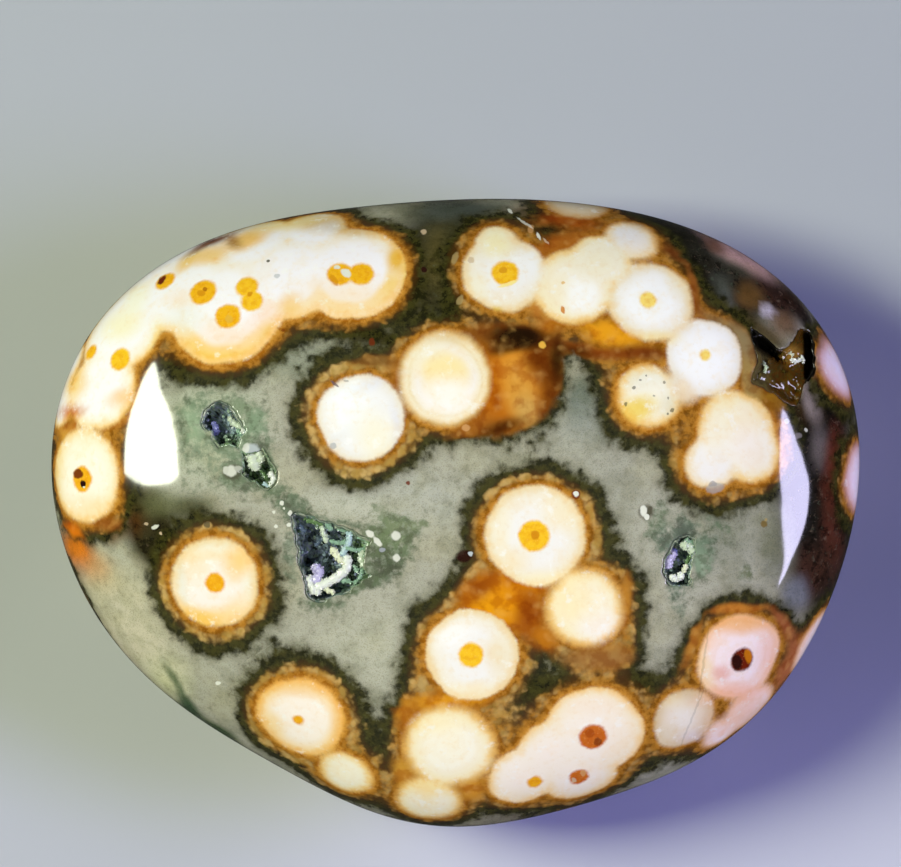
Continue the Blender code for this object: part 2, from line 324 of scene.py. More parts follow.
PATCHES_GROUND = [
    (452, 262, 60, 72, 0, .35, (44, 44, 26), .95),
    (442, 262, 22, 30, 0, .9, (104, 94, 54), .9),
    (438, 212, 34, 9, 4, .8, (84, 91, 86), .7),
    (485, 208, 26, 6, 0, .8, (70, 80, 78), .6),
    (452, 250, 10, 24, -10, .9, (80, 82, 60), .5),
    (570, 222, 52, 26, 0, .5, (150, 76, 20), .95),
    (668, 228, 54, 11, -16, .6, (44, 40, 30), .95),
    (690, 256, 52, 26, -34, .5, (30, 28, 18), .97),
    (736, 296, 44, 32, -42, .6, (32, 26, 18), .97),
    (724, 286, 9, 15, 20, .8, (84, 88, 84), .85),
    (720, 304, 12, 7, -10, .7, (112, 110, 106), .85),
    (706, 314, 14, 6, -30, .8, (92, 84, 60), .8),
    (776, 296, 34, 14, -48, .6, (52, 24, 16), .95),
    (750, 297, 14, 14, -40, .6, (104, 76, 42), .95),
    (742, 322, 12, 9, -20, .7, (86, 74, 50), .85),
    (764, 334, 26, 9, -28, .6, (84, 72, 46), .95),
    (767, 312, 7, 7, 0, .6, (204, 196, 214), 1),
    (784, 324, 14, 11, -40, .7, (112, 80, 52), .85),
    (742, 256, 42, 9, -32, .7, (232, 186, 180), 1),
    (716, 246, 12, 5, -30, .7, (120, 74, 50), .8),
    (792, 300, 26, 8, -52, .7, (46, 24, 12), .95),
    (806, 318, 14, 6, -56, .7, (30, 18, 16), .9),
    (818, 352, 6, 36, -12, .5, (132, 106, 92), .95),
    # partly painted shade: the right flank's own dark brown, painted near-black for the shade it reflects
    (820, 500, 46, 124, 3, .3, (14, 8, 5), .98),
    (800, 402, 30, 22, 0, .6, (56, 40, 16), .9),
    (812, 398, 8, 24, 8, .7, (150, 138, 136), .9),
    (820, 448, 9, 18, 0, .8, (112, 104, 104), .8),
    (838, 418, 12, 14, 0, .6, (20, 14, 12), .9),
    (834, 466, 9, 34, -5, .8, (120, 56, 40), .8),
    (832, 526, 10, 40, 6, .8, (92, 48, 36), .75),
    (808, 574, 26, 26, 30, .7, (70, 44, 34), .8),
    (796, 592, 13, 16, 0, .6, (122, 127, 138), .85),
    (780, 612, 14, 12, 0, .7, (60, 64, 66), .8),
    (790, 470, 8, 60, 0, .8, (40, 34, 22), .8),
    (774, 545, 18, 42, 0, .7, (120, 124, 108), .8),
    (628, 358, 36, 20, 0, .6, (92, 48, 16), .9),
    (650, 352, 26, 10, 10, .7, (118, 52, 14), .8),
    (152, 532, 26, 40, 18, .4, (46, 40, 12), .97),
    (188, 508, 24, 13, 10, .7, (66, 66, 34), .9),
    (140, 498, 16, 14, 0, .8, (70, 56, 22), .85),
    (158, 502, 22, 14, 0, .8, (100, 104, 72), .7),
    (130, 518, 12, 16, 20, .9, (84, 46, 8), .75),
    (124, 500, 6, 14, 10, .8, (116, 78, 20), .8),
    (112, 530, 12, 12, 0, .7, (120, 82, 40), .8),
    (100, 572, 16, 24, 35, .8, (184, 166, 130), .7),
    (190, 350, 10, 18, 0, .7, (120, 84, 24), .8),
    (178, 366, 12, 20, 10, .6, (62, 48, 20), .9),
    (62, 428, 10, 20, -12, .5, (216, 160, 72), .95),
    (88, 430, 26, 8, 6, .6, (170, 96, 30), .95),
    (110, 436, 16, 8, 10, .7, (196, 130, 60), .8),
    (140, 440, 22, 26, 20, .7, (150, 130, 84), .8),
    (128, 636, 44, 54, 35, .9, (208, 200, 176), .85),
    (166, 684, 20, 24, 40, .9, (212, 212, 174), .8),
    (350, 507, 40, 12, -8, .9, (192, 194, 180), .8),
    (206, 424, 40, 50, -20, .9, (186, 196, 172), .6),
    (78, 548, 14, 21, 25, .6, (222, 122, 16), .97),
    (94, 568, 14, 13, 35, .9, (206, 150, 104), .6),
    (174, 682, 22, 4, -62, .7, (74, 96, 64), .85),
    (191, 709, 20, 6, -48, .7, (52, 78, 52), .95),
    (222, 733, 26, 5, -38, .7, (58, 82, 54), .95),
    (400, 300, 22, 26, 0, .7, (60, 44, 26), .7),
    (372, 337, 36, 9, -8, .7, (42, 34, 12), .95),
    (415, 500, 50, 24, -10, .9, (179, 181, 172), .8),
    (380, 650, 26, 40, 0, .9, (186, 186, 170), .8),
    (620, 470, 40, 30, 0, .9, (158, 158, 148), .5),
    (580, 400, 14, 22, -10, .6, (104, 116, 110), .9),
    (590, 420, 30, 22, 0, .8, (140, 146, 138), .7),
    (722, 530, 30, 40, 8, .9, (134, 138, 124), .8),
    (300, 360, 60, 22, -10, .8, (152, 160, 144), .6),
    (335, 648, 18, 40, -30, .8, (182, 182, 166), .8),
    (560, 690, 60, 14, 0, .7, (70, 66, 44), .7),
    (640, 690, 18, 18, 0, .8, (64, 60, 40), .8),
    # painted reflection: a grey-brown band along the lower rim, laid over the stone's own colour
    (590, 814, 110, 20, 8, .7, (120, 106, 84), .8),
]
PATCHES_GREEN = [
    (222, 440, 44, 50, -30, .95, (132, 152, 128), .6),
    (196, 404, 18, 10, 20, .8, (84, 112, 82), .7),
    (192, 424, 12, 18, 10, .6, (140, 166, 134), .8),
    (182, 432, 5, 22, 10, .7, (70, 88, 58), .7),
    (238, 404, 18, 8, -20, .8, (116, 136, 104), .75),
    (250, 428, 12, 22, -30, .7, (120, 150, 118), .8),
    (222, 446, 18, 7, -34, .8, (66, 94, 70), .85),
    (246, 462, 22, 26, -20, .7, (100, 124, 96), .9),
    (266, 460, 6, 24, 24, .7, (56, 72, 50), .85),
    (240, 484, 26, 8, -10, .8, (84, 104, 76), .8),
    (282, 500, 22, 14, -34, .8, (84, 108, 80), .85),
    (296, 512, 14, 10, -30, .7, (52, 76, 50), .9),
    (334, 521, 40, 4, -16, .9, (84, 104, 80), .8),
    (292, 548, 9, 42, 0, .8, (90, 106, 88), .7),
    (380, 552, 24, 26, -20, .7, (58, 80, 40), .95),
    (402, 540, 16, 18, -20, .9, (92, 116, 76), .75),
    (392, 532, 26, 14, 20, .8, (96, 118, 74), .85),
    (412, 526, 26, 4, 4, .9, (116, 128, 92), .7),
    (386, 514, 18, 8, -30, .9, (110, 128, 84), .6),
    (360, 584, 34, 9, 16, .7, (60, 84, 46), .95),
    (386, 564, 14, 10, 20, .7, (46, 66, 34), .9),
    (322, 604, 22, 8, -6, .8, (78, 96, 68), .85),
    (686, 552, 26, 34, 0, .9, (104, 126, 106), .7),
    (684, 532, 11, 12, -20, .7, (52, 72, 60), .9),
    (664, 540, 9, 16, 20, .8, (74, 98, 82), .8),
    (702, 558, 9, 16, 0, .7, (132, 160, 130), .85),
    (706, 544, 9, 10, -30, .7, (84, 108, 84), .7),
    (658, 516, 9, 26, -24, .8, (92, 112, 82), .7),
    (676, 594, 8, 26, 6, .8, (96, 120, 104), .7),
    (720, 528, 16, 8, -40, .9, (92, 110, 80), .6),
    (746, 573, 7, 8, 0, .8, (92, 100, 56), .7),
]
PATCHES_GLOW = [
    (508, 388, 36, 42, 0, .8, (196, 112, 20), 1),
    (496, 390, 10, 30, 0, .9, (178, 96, 12), .8),
    (512, 372, 13, 22, 0, .8, (226, 144, 34), .9),
    (520, 392, 14, 34, 10, .6, (216, 156, 62), .85),
    (528, 412, 10, 15, 20, .8, (206, 166, 92), .75),
    (496, 428, 28, 8, 8, .7, (76, 40, 8), .95),
    (519, 337, 26, 13, 0, .6, (38, 18, 4), 1),
    (538, 358, 12, 16, 0, .8, (100, 42, 4), .85),
    (548, 386, 9, 32, 0, .8, (104, 50, 8), .85),
    (372, 361, 28, 7, -6, .8, (118, 92, 48), .8),
    (821, 350, 5, 28, -14, .7, (128, 104, 92), .95),
    (478, 336, 24, 10, 20, .8, (120, 68, 22), .8),
    (500, 602, 40, 30, 12, .8, (214, 128, 10), 1),
    (494, 606, 18, 16, 0, .8, (236, 160, 16), .9),
    (530, 616, 12, 26, 0, .7, (150, 72, 8), .9),
    (478, 588, 16, 10, 40, .8, (160, 84, 12), .8),
    (524, 580, 20, 10, -20, .8, (206, 120, 10), .8),
    (562, 574, 22, 14, -20, .8, (214, 140, 24), .9),
    (546, 640, 12, 16, 30, .8, (196, 118, 18), .8),
    (627, 600, 6, 34, -6, .8, (196, 134, 48), .8),
    (600, 652, 30, 7, 8, .9, (176, 124, 52), .7),
    (450, 702, 44, 10, 4, .8, (224, 152, 28), .95),
    (408, 716, 14, 20, 30, .8, (196, 132, 40), .8),
    (404, 776, 12, 20, 10, .8, (214, 158, 58), .9),
    (472, 786, 14, 16, 0, .8, (214, 150, 50), .9),
    (612, 334, 34, 12, -12, .7, (238, 164, 28), .95),
    (596, 351, 46, 6, -10, .9, (130, 58, 12), .9),
    (648, 354, 26, 6, -6, .8, (112, 48, 14), .9),
    (550, 326, 14, 8, 0, .8, (184, 112, 26), .85),
    (536, 306, 10, 14, 0, .8, (222, 160, 70), .8),
    (470, 428, 26, 9, 20, .8, (170, 104, 34), .7),
    (398, 400, 8, 34, 4, .8, (160, 96, 24), .8),
    (768, 400, 16, 12, -20, .7, (150, 108, 26), .9),
    (66, 432, 12, 9, -12, .7, (214, 160, 60), .9),
    (92, 424, 34, 7, 6, .8, (186, 112, 44), .85),
    (72, 540, 14, 20, 24, .5, (220, 118, 16), 1),
    (86, 556, 9, 13, 34, .8, (190, 120, 40), .8),
    (110, 524, 22, 8, -12, .9, (150, 88, 34), .8),
    (750, 378, 9, 30, 10, .7, (164, 140, 82), .9),
    (726, 327, 26, 7, -30, .8, (142, 124, 84), .95),
    (745, 344, 8, 16, 30, .8, (148, 130, 90), .95),
    (694, 290, 5, 30, 12, .8, (146, 84, 34), .85),
    (676, 254, 22, 6, -34, .8, (112, 56, 26), .7),
    (560, 244, 34, 10, 14, .8, (178, 102, 30), .8),
    (566, 222, 40, 8, -4, .8, (166, 78, 14), .8),
    (692, 640, 6, 32, -20, .8, (190, 130, 50), .8),
    (738, 609, 34, 5, 4, .8, (204, 132, 50), .85),
    (790, 664, 9, 34, -28, .8, (182, 108, 68), .85),
    (784, 626, 8, 28, 24, .8, (168, 98, 62), .8),
    (518, 339, 25, 11, 0, .6, (34, 18, 3), 1),
    (502, 348, 12, 7, 20, .8, (60, 28, 3), .9),
    (557, 360, 7, 24, 0, .8, (44, 27, 5), .9),
    (576, 351, 18, 6, -8, .8, (74, 32, 3), .85),
    (602, 660, 34, 9, 4, .8, (164, 122, 68), .85),
]
# How far noise pushes the edge of a small mark about, in millimetres, and how much longer than wide a mark may be
# to be drawn round.
DOT_SHAKE = 0.22
ROUND_UP_TO = 1.3

# The smallest marks, by colour: across, down, half width, half height, turn in degrees and strength.
DOTS = {
    (43, 16, 12): (
        (83, 484, 2.6, 3.6, 0, 1), (464, 556, 8, 6, 10, .9), (424, 270, 3.2, 2.6, 0, .95), (737, 662, 5, 8, 10, .95),
    ),
    (109, 41, 17): (
        (162, 280, 5.5, 2.6, 50, 1), (78, 474, 4.5, 5.5, 0, .95), (598, 742, 4, 4, 0, .7),
        (408, 483, 2.2, 2.2, 0, .9), (576, 494, 4.6, 4.8, 0, .9), (372, 342, 3, 4, 0, .8), (283, 330, 2, 1.4, 0, .6),
        (52.5, 496, 1.6, 4, 0, .8), (55, 510, 1.4, 2.4, 0, .7),
    ),
    (75, 71, 55): (
        (268, 261, 1.4, 1.4, 0, .9), (207, 525, 3.4, 3, 0, .8), (646, 512, 7, 8.5, 10, .7),
        (704, 660, 1.1, 38, -8, .2), (692, 718, 1.0, 32, -22, .2),
        (640, 380, 1.2, 1, 0, .6), (654, 396, 1.2, 1, 0, .5), (646, 376, 1, 1, 0, .6), (668, 398, 1, 1.4, 0, .6),
        # (649, 511) is painted shade: the shaded side of the small white bead at (645, 511)
        (649, 511, 3, 4.6, -20, .9), (233, 472, 10.5, 7.5, 10, .7), (634, 388, 2, 1.4, 30, .7),
        (626, 404, 1.4, 2.2, 0, .7), (664, 382, 1.4, 1.4, 0, .6), (672, 410, 1.6, 2.4, -30, .7),
        (668, 414, 1.2, 1.2, 0, .7),
    ),
    (160, 65, 15): (
        (205, 289, 2.4, 2, 0, .7), (590, 733, 5, 4, 0, .7),
    ),
    (103, 88, 101): (
        (713, 484, 4, 2.6, 0, .5), (335, 384, 5, 1.4, -36, .8),
    ),
    (120, 98, 48): (
        (764, 524, 3.6, 3.2, 0, .9),
    ),
    (135, 128, 130): (
        (346, 381, 2.5, 1.2, 0, .5), (798, 436, 4, 3, 30, .7),
    ),
    (208, 125, 19): (
        (201, 293, 4, 3, 0, .6), (334, 280, 6, 3, -60, .6), (250, 294, 3, 2, 30, .7), (503, 270, 4, 3, 0, .6),
        (535, 535, 4.5, 4.5, 0, .8), (563, 310, 1.8, 4, 20, .9), (748, 656, 3.4, 7, 10, .85),
    ),
    (168, 148, 97): (
        (460, 300, 5, 3, 60, .7), (455, 258, 3, 6, -20, .7), (766, 520, 2, 1.6, 0, .9),
    ),
    (157, 162, 170): (
        (277, 276, 3, 2, 0, .5), (715, 488, 9, 5, 10, .6), (333, 446, 3.5, 2.6, 0, .6), (787, 421, 3, 2.4, 0, .8),
        (382, 550, 3, 2, 0, .9),
    ),
    (212, 160, 103): (
        (583, 773, 3, 3, 0, .8), (466, 428, 4, 3, 0, .7), (531, 229, 3, 4, -20, .6),
    ),
    (226, 176, 70): (
        (229, 319, 4.5, 3.5, 0, .7), (542, 345, 3.6, 3.6, 0, 1), (563, 283, 1.6, 1.6, 0, .7),
    ),
    (212, 188, 155): (
        (574, 780, 3, 2.5, 0, .8), (161, 533, 1.6, 1.6, 0, .8), (146, 524, 2, 1.4, 0, .7), (424, 232, 3, 2.6, 0, .8),
        (471, 260, 3.6, 2.8, 0, .8), (546, 241, 4, 1, -45, .7),
    ),
    (186, 194, 198): (
        # (470.5, 554) is a painted glint, in the tiny pit at (464, 556)
        (470.5, 554, 2, 2.6, 0, 1), (252, 452, 8, 8, -20, .9),
    ),
    (228, 229, 218): (
        (346, 273, 5.5, 3.6, -40, 1), (337, 267, 3, 2.2, 0, .9), (84, 487, 1.2, 1.2, 0, 1),
        (218, 683, 2.6, 1.8, 0, 1), (155, 527, 4, 1.6, 30, .8), (576, 494, 2.8, 3, 0, 1),
        # (643.5, 511) and (647, 517) draw that bead's own white as a lit crescent: painted light
        (643.5, 511, 3.2, 5.8, 0, 1), (647, 517, 3, 2.4, 40, 1), (806, 430, 2, 2, 0, .7),
        (510, 211, 3.2, 1.5, -45, .9), (525, 223, 9.5, 1.1, -34, .6), (538.5, 236, 4.2, 1.4, -66, .9),
        (282, 503, 2.6, 2, 20, .9), (290, 513, 2.4, 2.2, 0, .9), (274, 512, 1.8, 1.6, 0, .8),
        (276, 526, 2.2, 1.8, 40, .85), (289, 525, 2, 2.4, 0, .9), (284, 508, 1.2, 1.2, 0, .9),
        (396, 536, 4, 5, -20, .85), (396.5, 558, 4, 3.2, 10, .85), (370, 534, 5, 3, -38, .9),
        (378, 542, 5.5, 2.8, -46, .9),
        (231, 471, 6.5, 5, 10, .8), (226, 470, 3, 4, 0, .7), (239, 469, 5, 3, -20, .5), (246, 448, 3.4, 5, -20, .7),
    ),
    (252, 232, 150): (
        (508, 284, 10, 1.8, 18, .9),
    ),
}
# Threads and beads of pale crystals in the pits: places along each, its radius, how far it sinks, and its tone.
THREADS = {
    "druse_center": (
        (((304, 583), (309, 589), (317, 591)), 5.0, 0.1, "white"),
        (((314, 588), (324, 584), (334, 579), (342, 573), (347, 567), (347, 559)), 4.6, 0.0, "white"),
        (((343, 562), (337, 556), (333, 550)), 3.4, 0.05, "cream"),
        (((316, 582), (319, 572), (316, 568)), 5.0, 0.2, "lavender"),
        (((327, 590), (333, 592)), 2.4, 0.1, "cream"),
        (((350, 533), (349, 540), (347, 546), (343, 553)), 3.2, 0.1, "sky"),
        (((331, 541), (339, 543), (346, 542)), 2.2, 0.2, "mint"),
        (((347, 548), (356, 550), (364, 549), (368, 544), (365, 538), (359, 537)), 2.0, 0.1, "mint"),
        (((362, 552), (361, 558), (363, 564)), 3.4, 0.05, "pale"),
        (((366, 558), (367, 565)), 2.4, 0.1, "white"),
        (((362, 570), (360, 577), (355, 583)), 1.8, 0.2, "mint"),
        (((322, 528), (324, 535), (326, 541)), 2.4, 0.1, "pale"),
        (((326, 524), (331, 529)), 2.0, 0.1, "mint"),
        (((306, 517), (312, 521), (318, 518)), 3.6, 0.2, "leaf"),
        (((316, 545), (322, 539)), 1.8, 0.5, "dusk"),
        (((300, 526), (304, 531)), 2.0, 0.4, "dusk"),
        (((343, 580), (350, 582)), 2.0, 0.3, "mint"),
        (((354, 566), (357, 570)), 2.0, 0.3, "mint"),
        (((338, 529), (344, 531)), 1.8, 0.3, "mint"),
    ),
    "druse_upper_left": (
        (((230, 419), (235, 424), (240, 427)), 3.0, 0.1, "pale"),
        (((239, 431), (243, 435)), 3.2, 0.15, "mint"),
        (((244, 431), (246, 434)), 4.0, 0.05, "white"),
        (((244, 441), (246, 446), (249, 450)), 3.4, 0.0, "white"),
        (((249, 453), (253, 458), (255, 464)), 7.5, 0.05, "frost"),
        (((259, 452), (261, 459)), 4.0, 0.1, "frost"),
        (((271, 474), (274, 480), (271, 485)), 3.0, 0.0, "white"),
        (((265, 484), (268, 486)), 2.2, 0.1, "sky"),
        (((214, 424), (216, 429), (215, 433)), 3.2, 0.5, "violet"),
        (((262, 472), (266, 478)), 1.6, 0.4, "leaf"),
    ),
    "druse_right": (
        (((671, 552), (669, 558), (667, 565)), 5.0, 0.05, "lavender"),
        (((673, 549), (675, 553)), 2.6, 0.3, "violet"),
        (((684, 545), (689, 547), (693, 551)), 4.4, 0.0, "pale"),
        (((687, 541), (692, 543)), 2.6, 0.1, "mint"),
        (((691, 556), (687, 562)), 2.2, 0.2, "leaf"),
        (((672, 577), (677, 579), (681, 575)), 3.4, 0.0, "white"),
        (((684, 571), (686, 566)), 2.2, 0.05, "cream"),
    ),
    # painted glints: the corner's pale threads are white crystals put where its hollow shines
    "druse_corner": (
        (((792, 360), (796, 361), (800, 360)), 1.9, 0.15, "white"),
        (((802, 357), (803, 361)), 1.5, 0.1, "white"),
        (((764, 363), (766, 368), (765, 373)), 1.5, 0.2, "pale"),
        (((789, 353), (793, 355)), 1.2, 0.2, "cream"),
    ),
}
TONES = {
    "white": (228, 233, 224), "cream": (222, 226, 196), "pale": (194, 208, 184), "mint": (138, 172, 148),
    # painted light: the lavender tone is pale crystal tinted with the bluish right lamp's cast
    "leaf": (98, 128, 84), "lavender": (190, 184, 222), "violet": (104, 108, 164), "dusk": (84, 100, 118),
    "sky": (176, 202, 206), "frost": (206, 216, 196),
}
# Where green quartz fills a pit level with the face: across, down, half width, half height, turn.
FILLS = {
    "druse_center": ((392, 556, 30, 34, -20), (372, 588, 30, 13, 25), (345, 602, 22, 9, 10), (392, 530, 26, 9, -25)),
    "druse_upper_left": ((228, 462, 16, 20, -30), (258, 430, 15, 28, -35), (250, 488, 20, 8, -30),
                         (204, 446, 8, 16, -25), (246, 404, 12, 8, 0)),
    "druse_right": ((700, 572, 11, 20, 10), (660, 536, 9, 9, 20), (703, 546, 9, 16, 0), (682, 592, 22, 8, 10)),
}

# The single crystals of each crust, and the middle of the corner's painted lit patch by its bright crystals. A crust
# keeps a gap to its pit's mouth, has this thickness on the floor and more on the wall, and ends below the face.
CRYSTALS = {"druse_upper_left": 150, "druse_center": 320, "druse_right": 110, "druse_corner": 34}
CORNER_LIT_PATCH = (793, 354)
CRUST_GAP = 0.06
CRUST_ON_WALL = 0.8
CRUST_THICKNESS = 0.55
CRUST_BELOW_FACE = 0.06

# Orbs of the sides and belly, which the photograph doesn't show.
HIDDEN_ORBS = 34
HIDDEN_SEED = 8

# Where the face and the belly are laid out for painting, as shares of the picture per millimetre.
FACE_MAP_SCALE = 0.0098
FACE_MAP_MIDDLE = (0.318, 0.5)
BELLY_MAP_SCALE = 0.0056
BELLY_MAP_MIDDLE = (0.815, 0.5)

# The lamps: their outlines, seen from the stone, how far off they stand, which way they are seen (turn from +X and
# height above the ground), how strong they are and their colours.
LAMP_DISTANCE = 900.0
LAMP_LEFT = (
    (-270, -178), (-128, -173), (32, -167), (149, -152), (185, -137), (180, 16), (124, 155), (65, 153),
    (13, 131), (-50, 79), (-109, 15), (-173, -58),
)
LAMP_RIGHT = (
    (179, 50), (61, -21), (-17, -82), (-88, -156), (-148, -182), (-203, -186), (-258, -172), (-304, -135),
    (-366, -101), (-291, -57), (-204, 27), (-99, 94), (-12, 113), (82, 99),
)
LAMP_FILL = ((-160, -160), (0, -185), (160, -160), (185, 0), (160, 160), (0, 185), (-160, 160), (-185, 0))
FILL_DISTANCE = 420.0
PANELS_APART = 8.0
WAY_LEFT, WAY_RIGHT, WAY_FILL = (166.0, 46.0), (3.0, 32.0), (-62.0, 52.0)
STRENGTH_LEFT, STRENGTH_RIGHT, STRENGTH_FILL = 26.0, 37.0, 1.4
LIGHT_LEFT = (1.0, 1.05, 0.86)
LIGHT_RIGHT = (0.39, 0.375, 0.54)
LIGHT_RIGHT_FLOOR = (0.29, 0.285, 0.70)
LIGHT_FILL = (1.0, 0.97, 0.90)
AMBIENT_LIGHT = (0.9, 0.95, 1.0)
AMBIENT = 0.025
FLOOR_REACH = 1500.0
# The floor's colours are painted light: lighter towards the near side, and more so on the right.
FLOOR_FAR = (185, 189, 186)
FLOOR_NEAR_LEFT = (199, 201, 201)
FLOOR_NEAR_RIGHT = (220, 220, 226)


def linear(color):
    """A colour given from 0 to 255, as light, from 0 to 1."""
    share = np.asarray(color, float) / 255.0
    return np.where(share <= 0.04045, share / 12.92, ((share + 0.055) / 1.055) ** 2.4)


def paint(*color):
    return (*(float(c) for c in linear(color)), 1.0)


def smoothstep(value, low, high):
    share = np.clip((value - low) / (high - low), 0.0, 1.0)
    return share * share * (3.0 - 2.0 * share)


def blend(a, b, share):
    return a + (b - a) * share


def bend(before, a, b, after, share):
    """The point this share of the way from a to b, on a smooth line that passes the points before and after too."""
    return 0.5 * (2.0 * a + (b - before) * share + (2.0 * before - 5.0 * a + 4.0 * b - after) * share ** 2
                  + (3.0 * a - before - 3.0 * b + after) * share ** 3)


def flattened(places):
    return np.column_stack((places, np.zeros(len(places))))


def ellipse_reach(places, spot, half, turn):
    """How far out each place lies in a turned ellipse: 0 in its middle and 1 on its edge."""
    turn = math.radians(turn)
    dx, dy = places[:, 0] - spot[0], places[:, 1] - spot[1]
    along = dx * math.cos(turn) + dy * math.sin(turn)
    across = dy * math.cos(turn) - dx * math.sin(turn)
    return np.hypot(along / half[0], across / half[1])


def place_mesh(mesh):
    """Puts a mesh in the scene as an object of the same name."""
    made = bpy.data.objects.new(mesh.name, mesh)
    bpy.context.scene.collection.objects.link(made)
    return made


# The form of the stone.
def rim_radius(angle):
    """Distance of the rim from the middle, on a smooth wave through the measured radii."""
    waves = np.fft.rfft(RIM_RADII) / len(RIM_RADII)
    orders = np.arange(len(waves))
    weights = np.where((orders == 0) | (orders == len(RIM_RADII) // 2), 1.0, 2.0)
    return ((weights * waves) @ np.exp(1j * np.outer(orders, np.ravel(angle)))).real


def face_height(x, y):
    share = np.minimum(np.hypot(x, y) / rim_radius(np.arctan2(y, x)), 1.0)
    return RIM_LEVEL + FACE_RISE * np.sqrt(1.0 - share ** FULLNESS)


def meridian(rise):
    """How far out each equal step along the surface reaches, from the crown to the rim, and the length in all."""
    share = 1.0 - np.linspace(1.0, 0.0, 4001) ** 3
    level = rise * np.sqrt(np.maximum(1.0 - share ** FULLNESS, 0.0))
    steps = np.hypot(np.diff(share) * RIM_RADII.mean(), np.diff(level))
    walked = np.concatenate(([0.0], np.cumsum(steps)))
    return walked / walked[-1], share, walked[-1]


def ball_angles(ball):
    """Turn round the axis, and the way from the crown (0) over the rim (1) to the belly's middle (2)."""
    way = np.arccos(np.clip(ball[:, 2], -1.0, 1.0)) / (math.pi / 2.0)
    return np.arctan2(ball[:, 1], ball[:, 0]), way


def stone_points(ball):
    """The points of the stone's surface that points of the unit ball stand for."""
    angle, way = ball_angles(ball)
    face_walk, face_share, _ = meridian(FACE_RISE)
    belly_walk, belly_share, _ = meridian(BELLY_DROP)
    share = np.where(way <= 1.0, np.interp(way, face_walk, face_share), np.interp(2.0 - way, belly_walk, belly_share))
    radius = share * rim_radius(angle)
    level = np.sqrt(np.maximum(1.0 - share ** FULLNESS, 0.0))
    height = RIM_LEVEL + np.where(way <= 1.0, FACE_RISE, -BELLY_DROP) * level
    ground = 0.5 * (height + np.sqrt(height ** 2 + FLAT_SOFTNESS ** 2)) - 0.5 * FLAT_SOFTNESS ** 2 / 0.82
    height = np.where(way > 1.0, np.maximum(ground, 0.0), height)
    return np.column_stack((radius * np.cos(angle), radius * np.sin(angle), height))


def face_spots(places):
    """Points of the face that lie at these places in the photograph."""
    places = np.asarray(places, float)
    level = np.full(len(places), RIM_LEVEL + FACE_RISE)
    for _ in range(8):
        scale = PHOTO_SCALE * CAMERA_DISTANCE / (CAMERA_DISTANCE + RIM_LEVEL - level)
        x = AIM[0] + (places[:, 0] - PHOTO_SIZE[0] / 2.0) / scale
        y = AIM[1] - (places[:, 1] - PHOTO_SIZE[1] / 2.0) / scale
        level = face_height(x, y)
    return np.column_stack((x, y, level))


def closed_curve(points, steps):
    """A smooth closed line through the points, as an outline of evenly turned stretches."""
    points = np.asarray(points, float)
    around = [np.roll(points, shift, 0) for shift in (1, 0, -1, -2)]
    return np.stack([bend(*around, step / steps) for step in range(steps)], 1).reshape(-1, 2)


def inside_distance(places, outline):
    """How far inside a closed outline each place lies; negative outside."""
    start, end = outline, np.roll(outline, -1, 0)
    along = end - start
    x, y = places[:, :1], places[:, 1:2]
    to_x, to_y = x - start[:, 0], y - start[:, 1]
    share = np.clip((to_x * along[:, 0] + to_y * along[:, 1]) / (along ** 2).sum(1), 0.0, 1.0)
    away = np.hypot(to_x - share * along[:, 0], to_y - share * along[:, 1]).min(1)
    crosses = (start[:, 1] > y) != (end[:, 1] > y)
    rise = np.where(along[:, 1] == 0.0, 1e-12, along[:, 1])
    within = (crosses & (x < start[:, 0] + to_y * along[:, 0] / rise)).sum(1) % 2 == 1
    return np.where(within, away, -away)


def wander(points, size, seed):
    """A smooth random vector at each point, that changes over this size."""
    shift = Vector((seed * 7.3, seed * -3.1, seed * 5.7))
    return np.array([noise.noise_vector(Vector(p) / size + shift) for p in points])


def lumps(points, size, seed):
    return wander(points, size, seed)[:, 2]


def broken_edge(outline, seed):
    """An outline with the small bays and corners of broken rock."""
    flat = flattened(outline)
    inward = outline.mean(0) - outline
    inward /= np.hypot(*inward.T)[:, None]
    return outline + inward * (MOUTH_RAGGED * (lumps(flat, 0.8, seed) + 0.5 * lumps(flat, 0.3, seed + 3.0)))[:, None]


PIT_OUTLINES = {name: broken_edge(closed_curve(pit["mouth"], 12), 20.0 + turn)
                for turn, (name, pit) in enumerate(PITS.items())}


def filled(name, places):
    """How far clear quartz fills a pit up to the face at each place."""
    share = np.zeros(len(places))
    shaken = places + 0.35 * wander(flattened(places), 0.7, 8.0)[:, :2]
    for fill in FILLS.get(name, ()):
        reach = ellipse_reach(shaken, face_spots([fill[:2]])[0], np.array(fill[2:4]) / FACE_SCALE, fill[4])
        share = np.maximum(share, smoothstep(reach, 1.12, 0.88))
    return share


def corner_slot(places):
    """Where the corner's pit is cut deeper: a wedge along its upper left and a slot down its right side."""
    wedge = smoothstep(places[:, 1] + 0.5 * (places[:, 0] - 24.0), 13.3, 14.0) * smoothstep(places[:, 0], 27.0, 26.0)
    return np.maximum(wedge, smoothstep(places[:, 0], 28.2, 28.6))


def pit_depth(name, places, inside):
    """How deep the rock is hollowed at places that lie this far inside a pit's mouth."""
    pit = PITS[name]
    spread = np.clip(inside / pit["wall"], 0.0, 1.0)
    flat = flattened(places)
    uneven = 1.0 + 0.28 * lumps(flat, 1.3, 2.0) + 0.12 * lumps(flat, 0.45, 5.0)
    depth = pit["depth"] * uneven * (1.0 - (1.0 - spread) ** 2.2)
    if name == "druse_center":
        depth *= 0.42 + 0.58 * smoothstep(-places[:, 0], 5.0, 8.6)
    if name == "druse_corner":
        depth *= 0.42 + 0.58 * corner_slot(places)
    return depth * (1.0 - filled(name, places))


